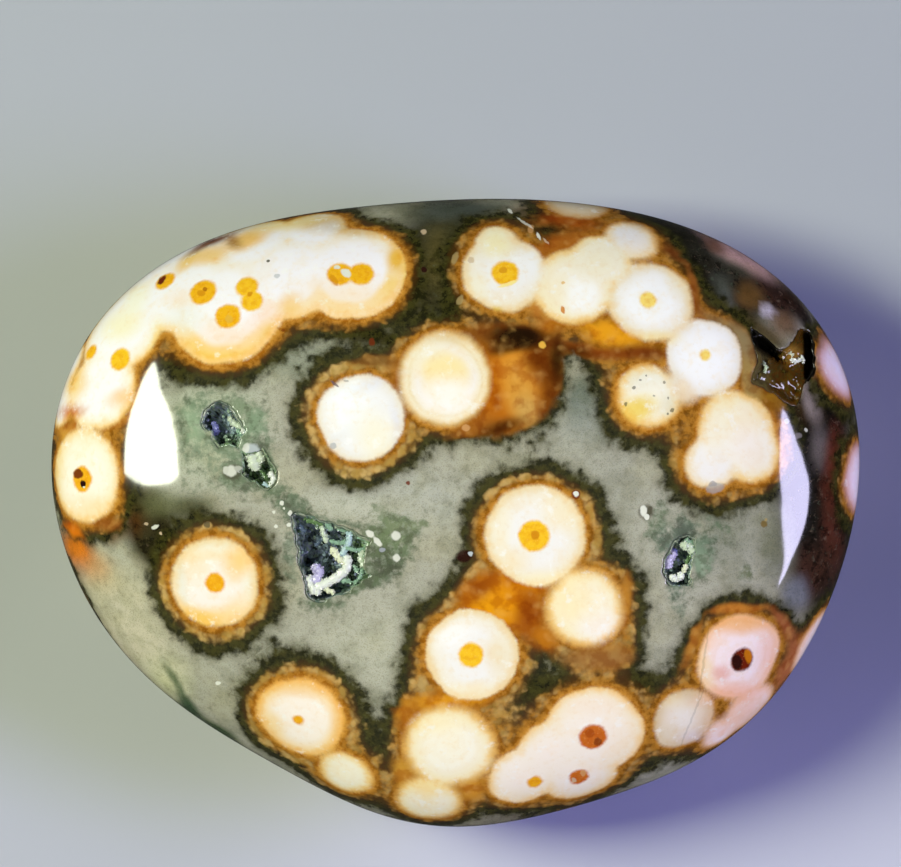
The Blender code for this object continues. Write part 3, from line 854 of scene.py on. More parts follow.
# The stone's mesh.
def refine(ball, wanted):
    edges = [edge for edge in ball.edges if all(wanted[vert.index] for vert in edge.verts)]
    bmesh.ops.subdivide_edges(ball, edges=edges, cuts=1, use_grid_fill=True)
    bmesh.ops.triangulate(ball, faces=[face for face in ball.faces if len(face.verts) > 3])
    for vert in ball.verts:
        vert.co.normalize()
    ball.verts.index_update()


def ball_array(ball):
    return np.array([vert.co[:] for vert in ball.verts])


def nearest_pit(places):
    """The pit that each place is deepest in or nearest to, and how far inside its mouth the place lies."""
    best = np.full(len(places), -1e3)
    which = np.zeros(len(places), int)
    for index, outline in enumerate(PIT_OUTLINES.values()):
        middle = outline.mean(0)
        reach = np.hypot(*(outline - middle).T).max() + 3.0
        near = np.hypot(*(places - middle).T) < reach
        found = np.full(len(places), -1e3)
        found[near] = inside_distance(places[near], outline)
        which = np.where(found > best, index, which)
        best = np.maximum(best, found)
    return which, best


def stone_ball():
    ball = bmesh.new()
    bmesh.ops.create_icosphere(ball, subdivisions=BALL_SUBDIVISIONS, radius=1.0)
    ball.verts.index_update()
    refine(ball, ball_array(ball)[:, 2] > FINE_ABOVE)
    at = ball_array(ball)
    points = stone_points(at)
    _, inside = nearest_pit(points[:, :2])
    refine(ball, (inside > -PIT_MARGIN) & (at[:, 2] > 0.0))
    return ball


# The markings, worked out at every point of the stone.
def patched(colors, points, shifted, patches, inside=None):
    """Lays soft elliptic patches over the colours of the face."""
    spots = face_spots([patch[:2] for patch in patches])
    on_face = smoothstep(points[:, 2], RIM_LEVEL - 1.5, RIM_LEVEL)
    cover = np.zeros(len(points))
    for patch, spot in zip(patches, spots):
        reach = ellipse_reach(shifted, spot, np.array(patch[2:4]) / FACE_SCALE, patch[4])
        weight = patch[7] * smoothstep(reach, 1.0 + patch[5], 1.0 - patch[5]) * on_face
        if len(patch) > 8:
            near, far = patch[8]
            edge = 0.25 * (far - near)
            weight = weight * smoothstep(inside, near - edge, near + edge) * smoothstep(inside, far + edge, far - edge)
        colors += weight[:, None] * (linear(patch[6]) - colors)
        cover += weight * (1.0 - cover)
    return colors, cover


def style_color(style, share):
    stops = STYLES[style]
    tones = np.array([linear(color) for _, color in stops])
    return np.column_stack([np.interp(share, [stop for stop, _ in stops], tones[:, c]) for c in range(3)])


def hidden_orbs():
    """Orbs for the sides and the belly, which the photograph doesn't show, spaced as those on the face are."""
    random = np.random.default_rng(HIDDEN_SEED)
    centers = [face_spots([(orb[0], orb[1])])[0] for orb in ORBS.values()]
    radii = [orb[2] / FACE_SCALE for orb in ORBS.values()]
    made = []
    for _ in range(4000):
        if len(made) >= HIDDEN_ORBS:
            break
        turn = random.uniform(0.0, 2.0 * math.pi)
        level = -random.uniform(0.02, 1.0)
        out = math.sqrt(1.0 - level ** 2)
        spot = stone_points(np.array([[out * math.cos(turn), out * math.sin(turn), level]]))[0]
        radius = random.uniform(1.9, 4.2)
        apart = [math.dist(spot, c) - radius - r for c, r in zip(centers, radii)]
        joined = random.random() < 0.35
        low = -0.45 * radius if joined and made else 1.6
        if min(apart) < low or (joined and made and min(apart) > 0.0):
            continue
        if spot[2] + radius > RIM_LEVEL + 0.6:
            continue
        style = random.choice(["white", "snow", "cream", "cluster", "peach", "pink", "cream", "white"])
        centers.append(spot)
        radii.append(radius)
        made.append((spot, radius, str(style), 0.16, random.uniform(0.2, 0.9)))
    return made


def hidden_eyes(orbs):
    random = np.random.default_rng(HIDDEN_SEED + 1)
    made = []
    for spot, radius, _, _, _ in orbs:
        if random.random() < 0.72:
            color = random.choice(["amber", "deep", "amber", "orange", "red", "pale"])
            made.append((spot + random.normal(0.0, 0.12, 3), radius * random.uniform(0.16, 0.32), str(color)))
    return made


def union_gap(gaps, blend):
    """Distance from the nearest orb, with neighbouring orbs drawn together over this width."""
    return -blend * np.log(np.exp(-np.clip(gaps / blend, -60.0, 60.0)).sum(1))


def markings(points):
    """Every measure that the stone's colours are mixed from, at each of its points."""
    shifted = points.copy()
    for turn, (size, reach) in enumerate(WANDER):
        shifted = shifted + reach * wander(points, size, 11.0 + turn)
    hidden = hidden_orbs()
    spots = face_spots([orb[:2] for orb in ORBS.values()])
    orbs = [(spot, orb[2] / FACE_SCALE, *orb[3:]) for spot, orb in zip(spots, ORBS.values())] + hidden
    centers = np.array([orb[0] for orb in orbs])
    radii = np.array([orb[1] for orb in orbs])
    gaps = np.column_stack([np.linalg.norm(shifted - center, axis=1) for center in centers]) - radii
    gap, depth = union_gap(gaps, GAP_BLEND), union_gap(gaps, DISC_BLEND)
    stains = zip(face_spots([stain[:2] for stain in STAINS]), STAINS)
    stained = [np.linalg.norm(shifted - spot, axis=1) - stain[2] / FACE_SCALE for spot, stain in stains]
    halo = union_gap(np.column_stack([gaps] + stained), HALO_BLEND)
    nearest = gaps.argmin(1)
    belonging = np.exp(-np.minimum((gaps - gaps.min(1)[:, None]) / STYLE_BLEND, 60.0))
    belonging /= belonging.sum(1)[:, None]
    count = len(points)
    disc = np.zeros((count, 3))
    for index, orb in enumerate(orbs):
        share = np.clip(1.0 + depth / orb[1], 0.0, 1.0)
        disc += belonging[:, index, None] * style_color(orb[2], share)
    soft, tan = (belonging @ np.array([orb[place] for orb in orbs]) for place in (3, 4))
    rings, gold = (belonging @ np.array([table[orb[2]] for orb in orbs]) for table in (RINGS, GOLD))
    outward = shifted - centers[nearest]
    away = np.linalg.norm(outward, axis=1)[:, None]
    reach = radii[nearest][:, None]
    ray = centers[nearest] + outward / np.maximum(away, 1e-6) * (reach + RAY_STRETCH * (away - reach))
    disc, _ = patched(disc, points, shifted, PATCHES_DISC, -gap)
    belly = smoothstep(points[:, 2], RIM_LEVEL, RIM_LEVEL - 2.0)
    ground = np.tile(linear(MATRIX), (count, 1))
    dark = smoothstep(lumps(points, 13.0, 31.0), 0.05, 0.25) * belly
    brown = smoothstep(lumps(points, 9.0, 37.0), 0.1, 0.35) * belly
    ground = blend(ground, linear(BELLY_DARK), dark[:, None] * 0.9)
    ground = blend(ground, linear(BELLY_BROWN), brown[:, None] * 0.8)
    ground, _ = patched(ground, points, shifted, PATCHES_GROUND)
    glow, glow_cover = patched(np.tile(linear(STAIN), (count, 1)), points, shifted, PATCHES_GLOW)
    green, green_cover = patched(np.tile(linear(GREEN), (count, 1)), points, shifted, PATCHES_GREEN)
    eye_gap = np.full(count, 1e3)
    eye_color = np.tile(linear(EYE_COLORS["amber"]), (count, 1))
    eyes = [(spot, eye[2] / FACE_SCALE, eye[3]) for spot, eye in zip(face_spots([eye[:2] for eye in EYES]), EYES)]
    for spot, radius, color in eyes + hidden_eyes(hidden):
        away = np.linalg.norm(points - spot, axis=1) - radius
        mine = away < eye_gap
        eye_gap = np.where(mine, away, eye_gap)
        eye_color[mine] = linear(EYE_COLORS[color])
    return {
        "gap": np.clip(gap, -9.0, 9.0), "halo": np.clip(halo, -9.0, 12.0), "soft": soft, "tan": tan, "rings": rings,
        "gold": gold, "ray": ray, "eye_gap": np.minimum(eye_gap, 4.0), "eye_color": eye_color, "disc_color": disc,
        "ground_color": ground, "glow_color": glow, "glow": glow_cover,
        "green_color": green, "green": green_cover,
    }


def write_attribute(mesh, name, values):
    if values.ndim == 1:
        attribute = mesh.attributes.new(name, "FLOAT", "POINT")
        attribute.data.foreach_set("value", values.astype(np.float32))
    else:
        attribute = mesh.attributes.new(name, "FLOAT_COLOR", "POINT")
        with_alpha = np.column_stack((values, np.ones(len(values))))
        attribute.data.foreach_set("color", with_alpha.astype(np.float32).ravel())


def face_map(mesh, at):
    """Lays the face out large and the belly smaller beside it, for painting the stone's colours on a picture."""
    angle, way = ball_angles(at)
    _, _, face_length = meridian(FACE_RISE)
    _, _, belly_length = meridian(BELLY_DROP)
    stretch = rim_radius(angle) / RIM_RADII.mean()
    turned = np.column_stack((-np.sin(angle), np.cos(angle)))
    face = turned * (way * face_length * stretch)[:, None] * FACE_MAP_SCALE + FACE_MAP_MIDDLE
    belly = turned * ((2.0 - way) * belly_length * stretch)[:, None] * BELLY_MAP_SCALE * (1.0, -1.0) + BELLY_MAP_MIDDLE
    loops = np.zeros(len(mesh.loops), np.int32)
    mesh.loops.foreach_get("vertex_index", loops)
    on_belly = way[loops].reshape(-1, 3).mean(1) > 1.0
    places = np.where(np.repeat(on_belly, 3)[:, None], belly[loops], face[loops])
    layer = mesh.uv_layers.new(name="OFBake")
    layer.data.foreach_set("uv", places.astype(np.float32).ravel())


def build_stone():
    ball = stone_ball()
    at = ball_array(ball)
    points = stone_points(at)
    fields = markings(points)
    which, inside = nearest_pit(points[:, :2])
    on_face = at[:, 2] > 0.0
    inside = np.where(on_face, inside, -5.0)
    names = list(PITS)
    hollow = np.zeros(len(points))
    for index, name in enumerate(names):
        mine = (which == index) & (inside > 0.0)
        hollow[mine] = pit_depth(name, points[mine, :2], inside[mine])
    shape = points.copy()
    shape[:, 2] -= hollow
    mesh = bpy.data.meshes.new("palm_stone_body")
    ball.to_mesh(mesh)
    ball.free()
    mesh.vertices.foreach_set("co", (shape * MM).astype(np.float32).ravel())
    mesh.update()
    for name, values in fields.items():
        write_attribute(mesh, name, values)
    write_attribute(mesh, "pit", hollow)
    write_attribute(mesh, "corner", (which == names.index("druse_corner")).astype(float))
    mesh.polygons.foreach_set("use_smooth", np.ones(len(mesh.polygons), bool))
    face_map(mesh, at)
    return place_mesh(mesh)


# The crystal crusts.
class Shells:
    """Gathers closed shells, each with its colour, into one mesh."""

    def __init__(self):
        self.points, self.faces, self.tints, self.smooth = [], [], [], []

    def add(self, points, faces, tint, smooth):
        first = len(self.points)
        self.points += [tuple(p) for p in points]
        self.faces += [tuple(first + i for i in face) for face in faces]
        tints = np.broadcast_to(np.asarray(tint, float), (len(points), 3))
        self.tints += [tuple(t) for t in tints]
        self.smooth += list(np.broadcast_to(smooth, len(faces)))

    def crystal(self, base, direction, radius, length, tint, spin):
        """A six-sided prism with a pointed end."""
        axis = Vector(direction).normalized()
        across = axis.orthogonal().normalized()
        beside = axis.cross(across)
        base = Vector(base)
        ring = [across * math.cos(spin + k * math.pi / 3.0) + beside * math.sin(spin + k * math.pi / 3.0)
                for k in range(6)]
        shoulder = base + axis * (length - 1.2 * radius)
        points = [base + r * radius for r in ring] + [shoulder + r * radius * 0.94 for r in ring]
        points.append(base + axis * length)
        faces = [tuple(range(5, -1, -1))]
        faces += [(k, (k + 1) % 6, 6 + (k + 1) % 6, 6 + k) for k in range(6)]
        faces += [(6 + k, 6 + (k + 1) % 6, 12) for k in range(6)]
        self.add(points, faces, tint, False)

    def thread(self, line, radii, tint, seed):
        """A knobbly rounded thread of fused crystals along a line."""
        sides = 12
        points, faces = [], []
        count = len(line)
        for k in range(count):
            ahead = Vector(line[min(k + 1, count - 1)]) - Vector(line[max(k - 1, 0)])
            axis = ahead.normalized()
            across = axis.cross(Vector((0.0, 0.0, 1.0)))
            across = across.normalized() if across.length > 1e-6 else Vector((1.0, 0.0, 0.0))
            above = across.cross(axis)
            for side in range(sides):
                turn = 2.0 * math.pi * side / sides
                way = across * math.cos(turn) + above * math.sin(turn)
                knob = 1.0 + 0.22 * noise.noise(Vector(line[k]) * 2.6 + way * 0.9 + Vector((seed, 0.0, 0.0)))
                points.append(Vector(line[k]) + way * radii[k] * knob)
        for k in range(count - 1):
            for side in range(sides):
                a, b = k * sides + side, k * sides + (side + 1) % sides
                faces.append((a, b, b + sides, a + sides))
        faces.append(tuple(range(sides)))
        faces.append(tuple(range(len(points) - 1, len(points) - 1 - sides, -1)))
        self.add(points, faces, tint, True)

    def build(self, name, material):
        mesh = bpy.data.meshes.new(name)
        mesh.from_pydata([tuple(c * MM for c in p) for p in self.points], [], self.faces)
        mesh.polygons.foreach_set("use_smooth", np.array(self.smooth, bool))
        write_attribute(mesh, "tint", np.array(self.tints))
        mesh.materials.append(material)
        mesh.update()
        return place_mesh(mesh)


def crust_tint(name, x, y, inside, random):
    """The colour of a pit's crystals at a place, with painted light and shade: dark where deep, green where thin, amber
    in the corner.
    """
    flicker = random.uniform(0.75, 1.3)
    if name == "druse_corner":
        slot = float(corner_slot(np.array([[x, y]]))[0])
        amber = linear((78, 48, 8)) if random.random() < 0.7 else linear((66, 56, 18))
        amber = blend(amber, linear((84, 76, 46)), 0.8 * float(smoothstep(np.array(x), 26.0, 25.0)))
        # painted light: the amber is painted lighter round the corner's bright crystals, as if lit there
        spot = face_spots([CORNER_LIT_PATCH])[0]
        lit_patch_share = smoothstep(math.hypot(x - spot[0], y - spot[1]), 1.1, 0.3)
        amber = blend(amber, linear((156, 116, 46)), 0.8 * float(lit_patch_share))
        # painted shade: the crust turns near-black in the corner's deep wedge and slot
        return blend(amber, linear((22, 20, 16)), slot) * random.uniform(0.85, 1.15)
    # the deep tone is painted lighter, as painted light that lifts the shade in the pit
    dark, green = linear((128, 146, 154)), linear((110, 136, 94))
    edge = linear((146, 150, 130)) if random.random() < 0.5 else linear((76, 98, 72))
    if name == "druse_center":
        share = float(smoothstep(np.array(x), -10.0, -7.4))
    elif name == "druse_upper_left":
        share = float(smoothstep(np.array(-y), -7.0, -5.6))
    else:
        share = 0.4
    tone = blend(dark, green, share)
    chance = random.random()
    # painted glints: light blue crystals scattered over the dark deep parts
    if chance < 0.22 * (1.0 - share):
        tone = linear((140, 150, 182))
    elif chance < 0.36:
        tone = linear((152, 174, 156))
    elif chance < 0.5:
        tone = linear((40, 48, 44))
    return blend(tone, edge, 0.8 * float(smoothstep(np.array(inside), 0.5, 0.15))) * flicker


def build_crust(name, material, seed):
    """The bed of crystals that lines a pit, with the threads and beads that stand out of it."""
    random = np.random.default_rng(seed)
    outline = PIT_OUTLINES[name]
    middle = outline.mean(0)
    shells = Shells()
    rings, turns = 20, len(outline)
    shares = 1.0 - (1.0 - np.linspace(0.0, 1.0, rings + 1)[1:]) ** 1.4
    spokes = outline - middle
    reach = np.hypot(*spokes.T)
    held = spokes * ((reach - CRUST_GAP) / reach)[:, None]
    grid = np.concatenate([[middle]] + [middle + held * share for share in shares])
    inside = inside_distance(grid, outline)
    floor = pit_depth(name, grid, np.maximum(inside, 0.0))
    flat = flattened(grid)
    thick = CRUST_THICKNESS * (1.0 + 0.45 * lumps(flat, 0.6, 4.0))
    thick += CRUST_ON_WALL * smoothstep(inside, 0.6, 0.1) * np.clip(0.55 + 1.4 * lumps(flat, 0.5, 9.0), 0.0, 1.2)
    face = face_height(grid[:, 0], grid[:, 1])
    full = filled(name, grid)
    top = face - np.maximum(floor - thick, CRUST_BELOW_FACE)
    bottom = np.minimum(face - floor + 0.02, top - 0.08)
    points = np.concatenate((np.column_stack((grid, top)), np.column_stack((grid, bottom))))
    count = len(grid)
    faces, sides = [], []
    for turn in range(turns):
        after = (turn + 1) % turns
        faces.append((0, 1 + turn, 1 + after))
        faces.append((count, count + 1 + after, count + 1 + turn))
        for ring in range(rings - 1):
            a, b = 1 + ring * turns + turn, 1 + ring * turns + after
            c, d = a + turns, b + turns
            faces.append((a, c, d, b))
            faces.append((count + a, count + b, count + d, count + c))
        a, b = 1 + (rings - 1) * turns + turn, 1 + (rings - 1) * turns + after
        sides.append((a, count + a, count + b, b))
    tints = np.array([crust_tint(name, x, y, near, random) for (x, y), near in zip(grid, inside)])
    smooth = np.arange(len(faces) + len(sides)) < len(faces)
    shells.add(points, faces + sides, np.concatenate((tints, tints)), smooth)
    made = 0
    while made < CRYSTALS[name]:
        k = random.integers(1, count)
        x, y = grid[k] + random.normal(0.0, 0.12, 2)
        depth_inside = inside_distance(np.array([[x, y]]), outline)[0]
        if depth_inside < CRUST_GAP + 0.08 or full[k] > 0.4:
            continue
        made += 1
        radius = random.uniform(0.07, 0.2)
        toward = (middle - (x, y)) / max(np.hypot(*(middle - (x, y))), 0.1)
        lean = random.normal(0.0, 0.45, 2) + toward * 0.55
        length = radius * random.uniform(2.2, 4.2)
        room = float(face_height(x, y)[0]) - CRUST_BELOW_FACE - top[k]
        length = min(length, max(room + 0.16, 0.12))
        shells.crystal((x, y, top[k] - 0.12), (lean[0], lean[1], 1.0), min(radius, 0.45 * length), length,
                       crust_tint(name, x, y, depth_inside, random), random.uniform(0.0, 1.0))
    for number, (places, radius, sink, tone) in enumerate(THREADS.get(name, ())):
        build_thread(shells, outline, middle, places, radius / FACE_SCALE, sink, linear(TONES[tone]), seed + number)
    return shells.build(name + "_crystals", material)


def build_thread(shells, outline, middle, places, radius, sink, tint, seed):
    """One thread of pale crystals, held inside the pit's mouth and under the face."""
    random = np.random.default_rng(seed)
    spots = face_spots(places)[:, :2]
    steps = []
    for k in range(len(spots) - 1):
        for share in np.linspace(0.0, 1.0, 5)[: 5 if k == len(spots) - 2 else 4]:
            before, after = spots[max(k - 1, 0)], spots[min(k + 2, len(spots) - 1)]
            steps.append(bend(before, spots[k], spots[k + 1], after, share))
    line = np.array(steps)
    first, last = line[0] - line[1], line[-1] - line[-2]
    first, last = first / max(np.hypot(*first), 1e-6), last / max(np.hypot(*last), 1e-6)
    caps = np.array([0.98, 0.72, 0.32])
    line = np.concatenate(([line[0] + first * radius * c for c in caps], line,
                           [line[-1] + last * radius * c for c in caps[::-1]]))
    swell = np.concatenate((np.sqrt(1.0 - caps ** 2), np.ones(len(steps)), np.sqrt(1.0 - caps[::-1] ** 2)))
    for _ in range(12):
        short = radius * 0.8 + CRUST_GAP - inside_distance(line, outline)
        line += np.clip(short, 0.0, None)[:, None] * 0.4 * (middle - line) / np.hypot(*(middle - line).T)[:, None]
    face = face_height(line[:, 0], line[:, 1])
    level = face - CRUST_BELOW_FACE - radius * 1.2 - sink
    bumps = 1.0 + 0.16 * np.sin(np.arange(len(line)) * 1.9 + seed) + random.normal(0.0, 0.06, len(line))
    shells.thread(np.column_stack((line, level)), radius * swell * bumps, tint, float(seed))
    for _ in range(int(4 + 14 * len(steps) * radius)):
        k = random.integers(3, len(line) - 3) if len(line) > 7 else len(line) // 2
        turn = random.uniform(0.0, 2.0 * math.pi)
        way = Vector((math.cos(turn), math.sin(turn), random.uniform(0.1, 1.1))).normalized()
        start = Vector((line[k][0], line[k][1], level[k])) + way * radius * 0.55
        size = random.uniform(0.05, 0.11)
        shells.crystal(start, way, size, radius * 0.45 + size * 1.6, tint * random.uniform(0.72, 1.08), turn)


# Materials.
class Shading:
    """A material's nodes, wired with less writing."""

    def __init__(self, name):
        self.material = bpy.data.materials.new(name)
        self.material.use_nodes = True
        self.tree = self.material.node_tree
        self.tree.nodes.clear()
        self.place = self.node("ShaderNodeVectorMath", {0: self.node("ShaderNodeTexCoord").outputs["Object"],
                                                        "Scale": 1.0 / MM}, operation="SCALE").outputs[0]

    def node(self, kind, inputs=None, **settings):
        made = self.tree.nodes.new(kind)
        for key, value in settings.items():
            setattr(made, key, value)
        for key, value in (inputs or {}).items():
            self.plug(made.inputs[key], value)
        return made

    def plug(self, socket, value):
        if isinstance(value, bpy.types.NodeSocket):
            self.tree.links.new(value, socket)
        else:
            socket.default_value = value

    def measure(self, name):
        return self.node("ShaderNodeAttribute", attribute_name=name).outputs["Fac"]

    def color(self, name):
        return self.node("ShaderNodeAttribute", attribute_name=name).outputs["Color"]

    def sum(self, *terms):
        total = terms[0]
        for term in terms[1:]:
            total = self.node("ShaderNodeMath", {0: total, 1: term}, operation="ADD").outputs[0]
        return total

    def times(self, a, b):
        return self.node("ShaderNodeMath", {0: a, 1: b}, operation="MULTIPLY").outputs[0]

    def off_middle(self, value, reach):
        """A pattern that runs from 0 to 1, shifted and scaled to run from -reach to reach."""
        return self.node("ShaderNodeMath", {0: value, 1: 2.0 * reach, 2: -reach},
                         operation="MULTIPLY_ADD").outputs[0]

    def step(self, value, low, high):
        return self.node("ShaderNodeMapRange", {"Value": value, "From Min": low, "From Max": high},
                         interpolation_type="SMOOTHSTEP").outputs[0]

    def cloud(self, per_mm, detail=3.0, roughness=0.5, at=None):
        return self.node("ShaderNodeTexNoise", {"Vector": at or self.place, "Scale": per_mm, "Detail": detail,
                                                "Roughness": roughness}).outputs[0]

    def cells(self, per_mm, at=None, feature="F1"):
        return self.node("ShaderNodeTexVoronoi", {"Vector": at or self.place, "Scale": per_mm},
                         feature=feature).outputs["Distance"]

    def shaken(self, at, per_mm, reach):
        """Places pushed about at random, so that a pattern drawn on them loses its regular shapes."""
        push = self.node("ShaderNodeTexNoise", {"Vector": at, "Scale": per_mm, "Detail": 2.0})
        return self.node("ShaderNodeVectorMath", {0: push.outputs["Color"], 1: (reach, reach, reach), 2: at},
                         operation="MULTIPLY_ADD").outputs[0]

    def mix(self, share, a, b, way="MIX"):
        made = self.node("ShaderNodeMix", data_type="RGBA", blend_type=way)
        for index, value in ((0, share), (6, a), (7, b)):
            self.plug(made.inputs[index], value)
        return made.outputs[2]

    def finish(self, color, roughness, normal=None, **extra):
        surface = self.node("ShaderNodeBsdfPrincipled", {"Base Color": color, "Roughness": roughness})
        if normal is not None:
            self.plug(surface.inputs["Normal"], normal)
        for key, value in extra.items():
            self.plug(surface.inputs[key], value)
        self.node("ShaderNodeOutputMaterial", {"Surface": surface.outputs[0]})
        return self.material


def dotted(shading, color):
    """Lays the smallest marks over the stone's colours, the darkest first."""
    def vector(operation, *values):
        return shading.node("ShaderNodeVectorMath", dict(enumerate(values)), operation=operation).outputs

    flat = vector("MULTIPLY", shading.place, (1.0, 1.0, 0.0))[0]
    shake = shading.node("ShaderNodeTexNoise", {"Vector": shading.place, "Scale": 2.4, "Detail": 1.0})
    shifted = vector("MULTIPLY_ADD", shake.outputs["Color"], (DOT_SHAKE, DOT_SHAKE, 0.0), flat)[0]
    turned = {0: shifted}
    for tone, dots in DOTS.items():
        share = 0.0
        for (_, _, *half, turn, strength), spot in zip(dots, face_spots([dot[:2] for dot in dots])):
            wide, high = np.array(half) / FACE_SCALE
            x, y = spot[:2] + DOT_SHAKE / 2.0
            if max(half) <= ROUND_UP_TO * min(half):
                reach = math.sqrt(wide * high)
                away = vector("DISTANCE", shifted, (x, y, 0.0))["Value"]
                outer, inner = 1.25 * reach, 0.75 * reach
            else:
                if turn not in turned:
                    turned[turn] = shading.node("ShaderNodeVectorRotate", {"Vector": shifted,
                                                                           "Angle": -math.radians(turn)},
                                                rotation_type="Z_AXIS").outputs[0]
                ahead = Vector((math.cos(math.radians(turn)), math.sin(math.radians(turn))))
                along, across = (x * ahead.x + y * ahead.y) / wide, (y * ahead.x - x * ahead.y) / high
                off = vector("MULTIPLY_ADD", turned[turn], (1.0 / wide, 1.0 / high, 0.0), (-along, -across, 0.0))[0]
                away = vector("DOT_PRODUCT", off, off)["Value"]
                outer, inner = 1.25 ** 2, 0.75 ** 2
            share = shading.node("ShaderNodeMapRange", {
                "Value": away, "From Min": outer, "From Max": inner, "To Min": share, "To Max": strength},
                interpolation_type="SMOOTHSTEP").outputs[0]
        color = shading.mix(share, color, paint(*tone))
    return color


def jasper():
    """Polished jasper: ground, moss fringe, tan crystals, orange ring, orb and eye, from the outside inward."""
    s = Shading("jasper")
    gap, halo = s.measure("gap"), s.measure("halo")
    ray = s.node("ShaderNodeAttribute", attribute_name="ray").outputs["Vector"]
    drift, grain, fine = s.cloud(0.22, 4.0, 0.55), s.cloud(1.5, 3.0, 0.6), s.cloud(5.0, 2.0, 0.6)
    streak, hair = s.cloud(1.5, 3.0, 0.6, at=ray), s.cloud(4.2, 2.0, 0.5, at=ray)
    broken = s.shaken(s.place, 1.1, 0.8)
    clumps = s.cells(1.0, at=broken, feature="SMOOTH_F1")
    knobs = s.sum(s.times(s.cells(1.8, at=broken), 0.74), 0.05)
    # the grey-green ground, clouded and grained
    ground = s.color("ground_color")
    ground = s.mix(s.times(s.step(drift, 0.40, 0.66), 0.45), ground, paint(190, 184, 158), "SOFT_LIGHT")
    ground = s.mix(s.times(s.step(s.cloud(0.55, 3.0, 0.5), 0.56, 0.34), 0.34), ground, paint(186, 190, 172), "MULTIPLY")
    ground = s.mix(s.times(s.step(grain, 0.46, 0.72), 0.24), ground, paint(160, 158, 136), "MULTIPLY")
    ground = s.mix(s.times(s.step(fine, 0.35, 0.65), 0.34), ground, paint(214, 210, 196), "SOFT_LIGHT")
    ground = s.mix(s.times(s.step(s.cloud(9.0, 1.0, 0.6), 0.52, 0.68), 0.30), ground, paint(128, 130, 108), "MULTIPLY")
    # where it is dark it is glassy, and broken into flecks
    dark = s.step(s.node("ShaderNodeRGBToBW", {0: s.color("ground_color")}).outputs[0], 0.07, 0.02)
    ground = s.mix(s.times(dark, s.times(s.step(s.cloud(1.1, 3.0, 0.7), 0.5, 0.36), 0.75)), ground,
                   paint(96, 84, 72), "MULTIPLY")
    ground = s.mix(s.times(dark, s.times(s.step(s.cloud(1.7, 3.0, 0.7), 0.56, 0.74), 0.3)), ground,
                   paint(150, 130, 108))
    # green quartz round the pits, in flakes and threads
    flakes = s.step(s.sum(s.times(s.cells(1.5, at=broken), 0.8), s.off_middle(fine, 0.3)), 0.42, 0.06)
    leaf = s.mix(s.times(s.step(s.cloud(1.0, 3.0, 0.65), 0.55, 0.38), 0.7), s.color("green_color"),
                 paint(156, 154, 140), "MULTIPLY")
    leaf = s.mix(s.times(flakes, 0.3), leaf, paint(180, 192, 170))
    green = s.step(s.sum(s.measure("green"), s.off_middle(grain, 0.9), s.off_middle(fine, 0.3)), 0.16, 0.95)
    ground = s.mix(s.times(green, 0.8), ground, leaf)
    # the dark moss fringe, that frays outward
    tan = s.measure("tan")
    moss_edge = s.sum(halo, s.times(tan, -FRINGE_GROWS), s.off_middle(streak, 0.45), s.off_middle(hair, 0.12),
                      s.off_middle(drift, 0.8), s.off_middle(clumps, 0.5), s.off_middle(grain, 0.5))
    haze = s.step(moss_edge, FRINGE_WIDTH + 0.9, FRINGE_WIDTH - 0.3)
    color = s.mix(s.times(haze, 0.45), ground, paint(128, 128, 98), "MULTIPLY")
    moss = s.step(moss_edge, FRINGE_WIDTH + 0.3, FRINGE_WIDTH - 0.5)
    moss_color = s.mix(s.step(grain, 0.36, 0.64), paint(27, 27, 6), paint(62, 59, 22))
    moss_color = s.mix(s.times(s.step(hair, 0.54, 0.74), 0.3), moss_color, paint(92, 90, 50))
    moss_color = s.mix(s.times(s.step(s.sum(halo, s.times(tan, -0.5), s.off_middle(grain, 0.4)), 1.2, 0.5), 0.85),
                       moss_color, paint(74, 44, 12))
    color = s.mix(s.times(moss, 0.95), color, moss_color)
    # tan crystals in a brown bed
    bed_edge = s.sum(halo, s.times(tan, -BED_GROWS), s.off_middle(knobs, 0.25), s.off_middle(streak, 0.2),
                     s.off_middle(clumps, 0.55), s.off_middle(drift, 0.5))
    bed = s.step(bed_edge, BED_WIDTH + 0.3, BED_WIDTH - 0.3)
    brown = s.mix(s.step(grain, 0.36, 0.64), paint(112, 68, 12), paint(178, 120, 40))
    shape = s.sum(s.times(clumps, 0.62), s.times(knobs, 0.42), s.off_middle(grain, 0.2), s.times(tan, -0.34),
                  s.times(s.step(gap, 0.8, 0.3), 0.34))
    tan_light = s.step(shape, 0.55, 0.0)
    light = s.mix(s.step(s.cloud(0.8, 2.0, 0.5), 0.4, 0.6), paint(178, 146, 76), paint(212, 180, 114))
    bed_color = s.mix(s.times(tan_light, s.sum(0.3, s.times(tan, 0.62))), brown, light)
    color = s.mix(s.times(bed, 0.94), color, bed_color)
    # the orange ring against the orb
    ring = s.step(s.sum(gap, s.off_middle(streak, 0.3), s.off_middle(grain, 0.25)), 0.7, 0.0)
    ring_color = s.mix(s.step(grain, 0.36, 0.64), paint(176, 108, 26), paint(224, 160, 66))
    color = s.mix(s.times(ring, s.sum(0.25, s.times(s.measure("gold"), 0.8))), color, ring_color)
    # the orange glow of iron-stained quartz
    glow = s.step(s.sum(s.measure("glow"), s.off_middle(grain, 0.2), s.off_middle(streak, 0.16)), 0.08, 0.9)
    stain = s.mix(s.times(s.step(s.cloud(0.8, 3.0, 0.5), 0.58, 0.36), 0.6), s.color("glow_color"),
                  paint(200, 146, 90), "MULTIPLY")
    stain = s.mix(s.times(s.step(clumps, 0.42, 0.05), 0.22), stain, paint(232, 180, 96))
    glow = s.times(glow, s.step(s.sum(halo, s.off_middle(clumps, 0.5)), 1.7, 1.0))
    color = s.mix(s.times(glow, 0.95), color, stain)
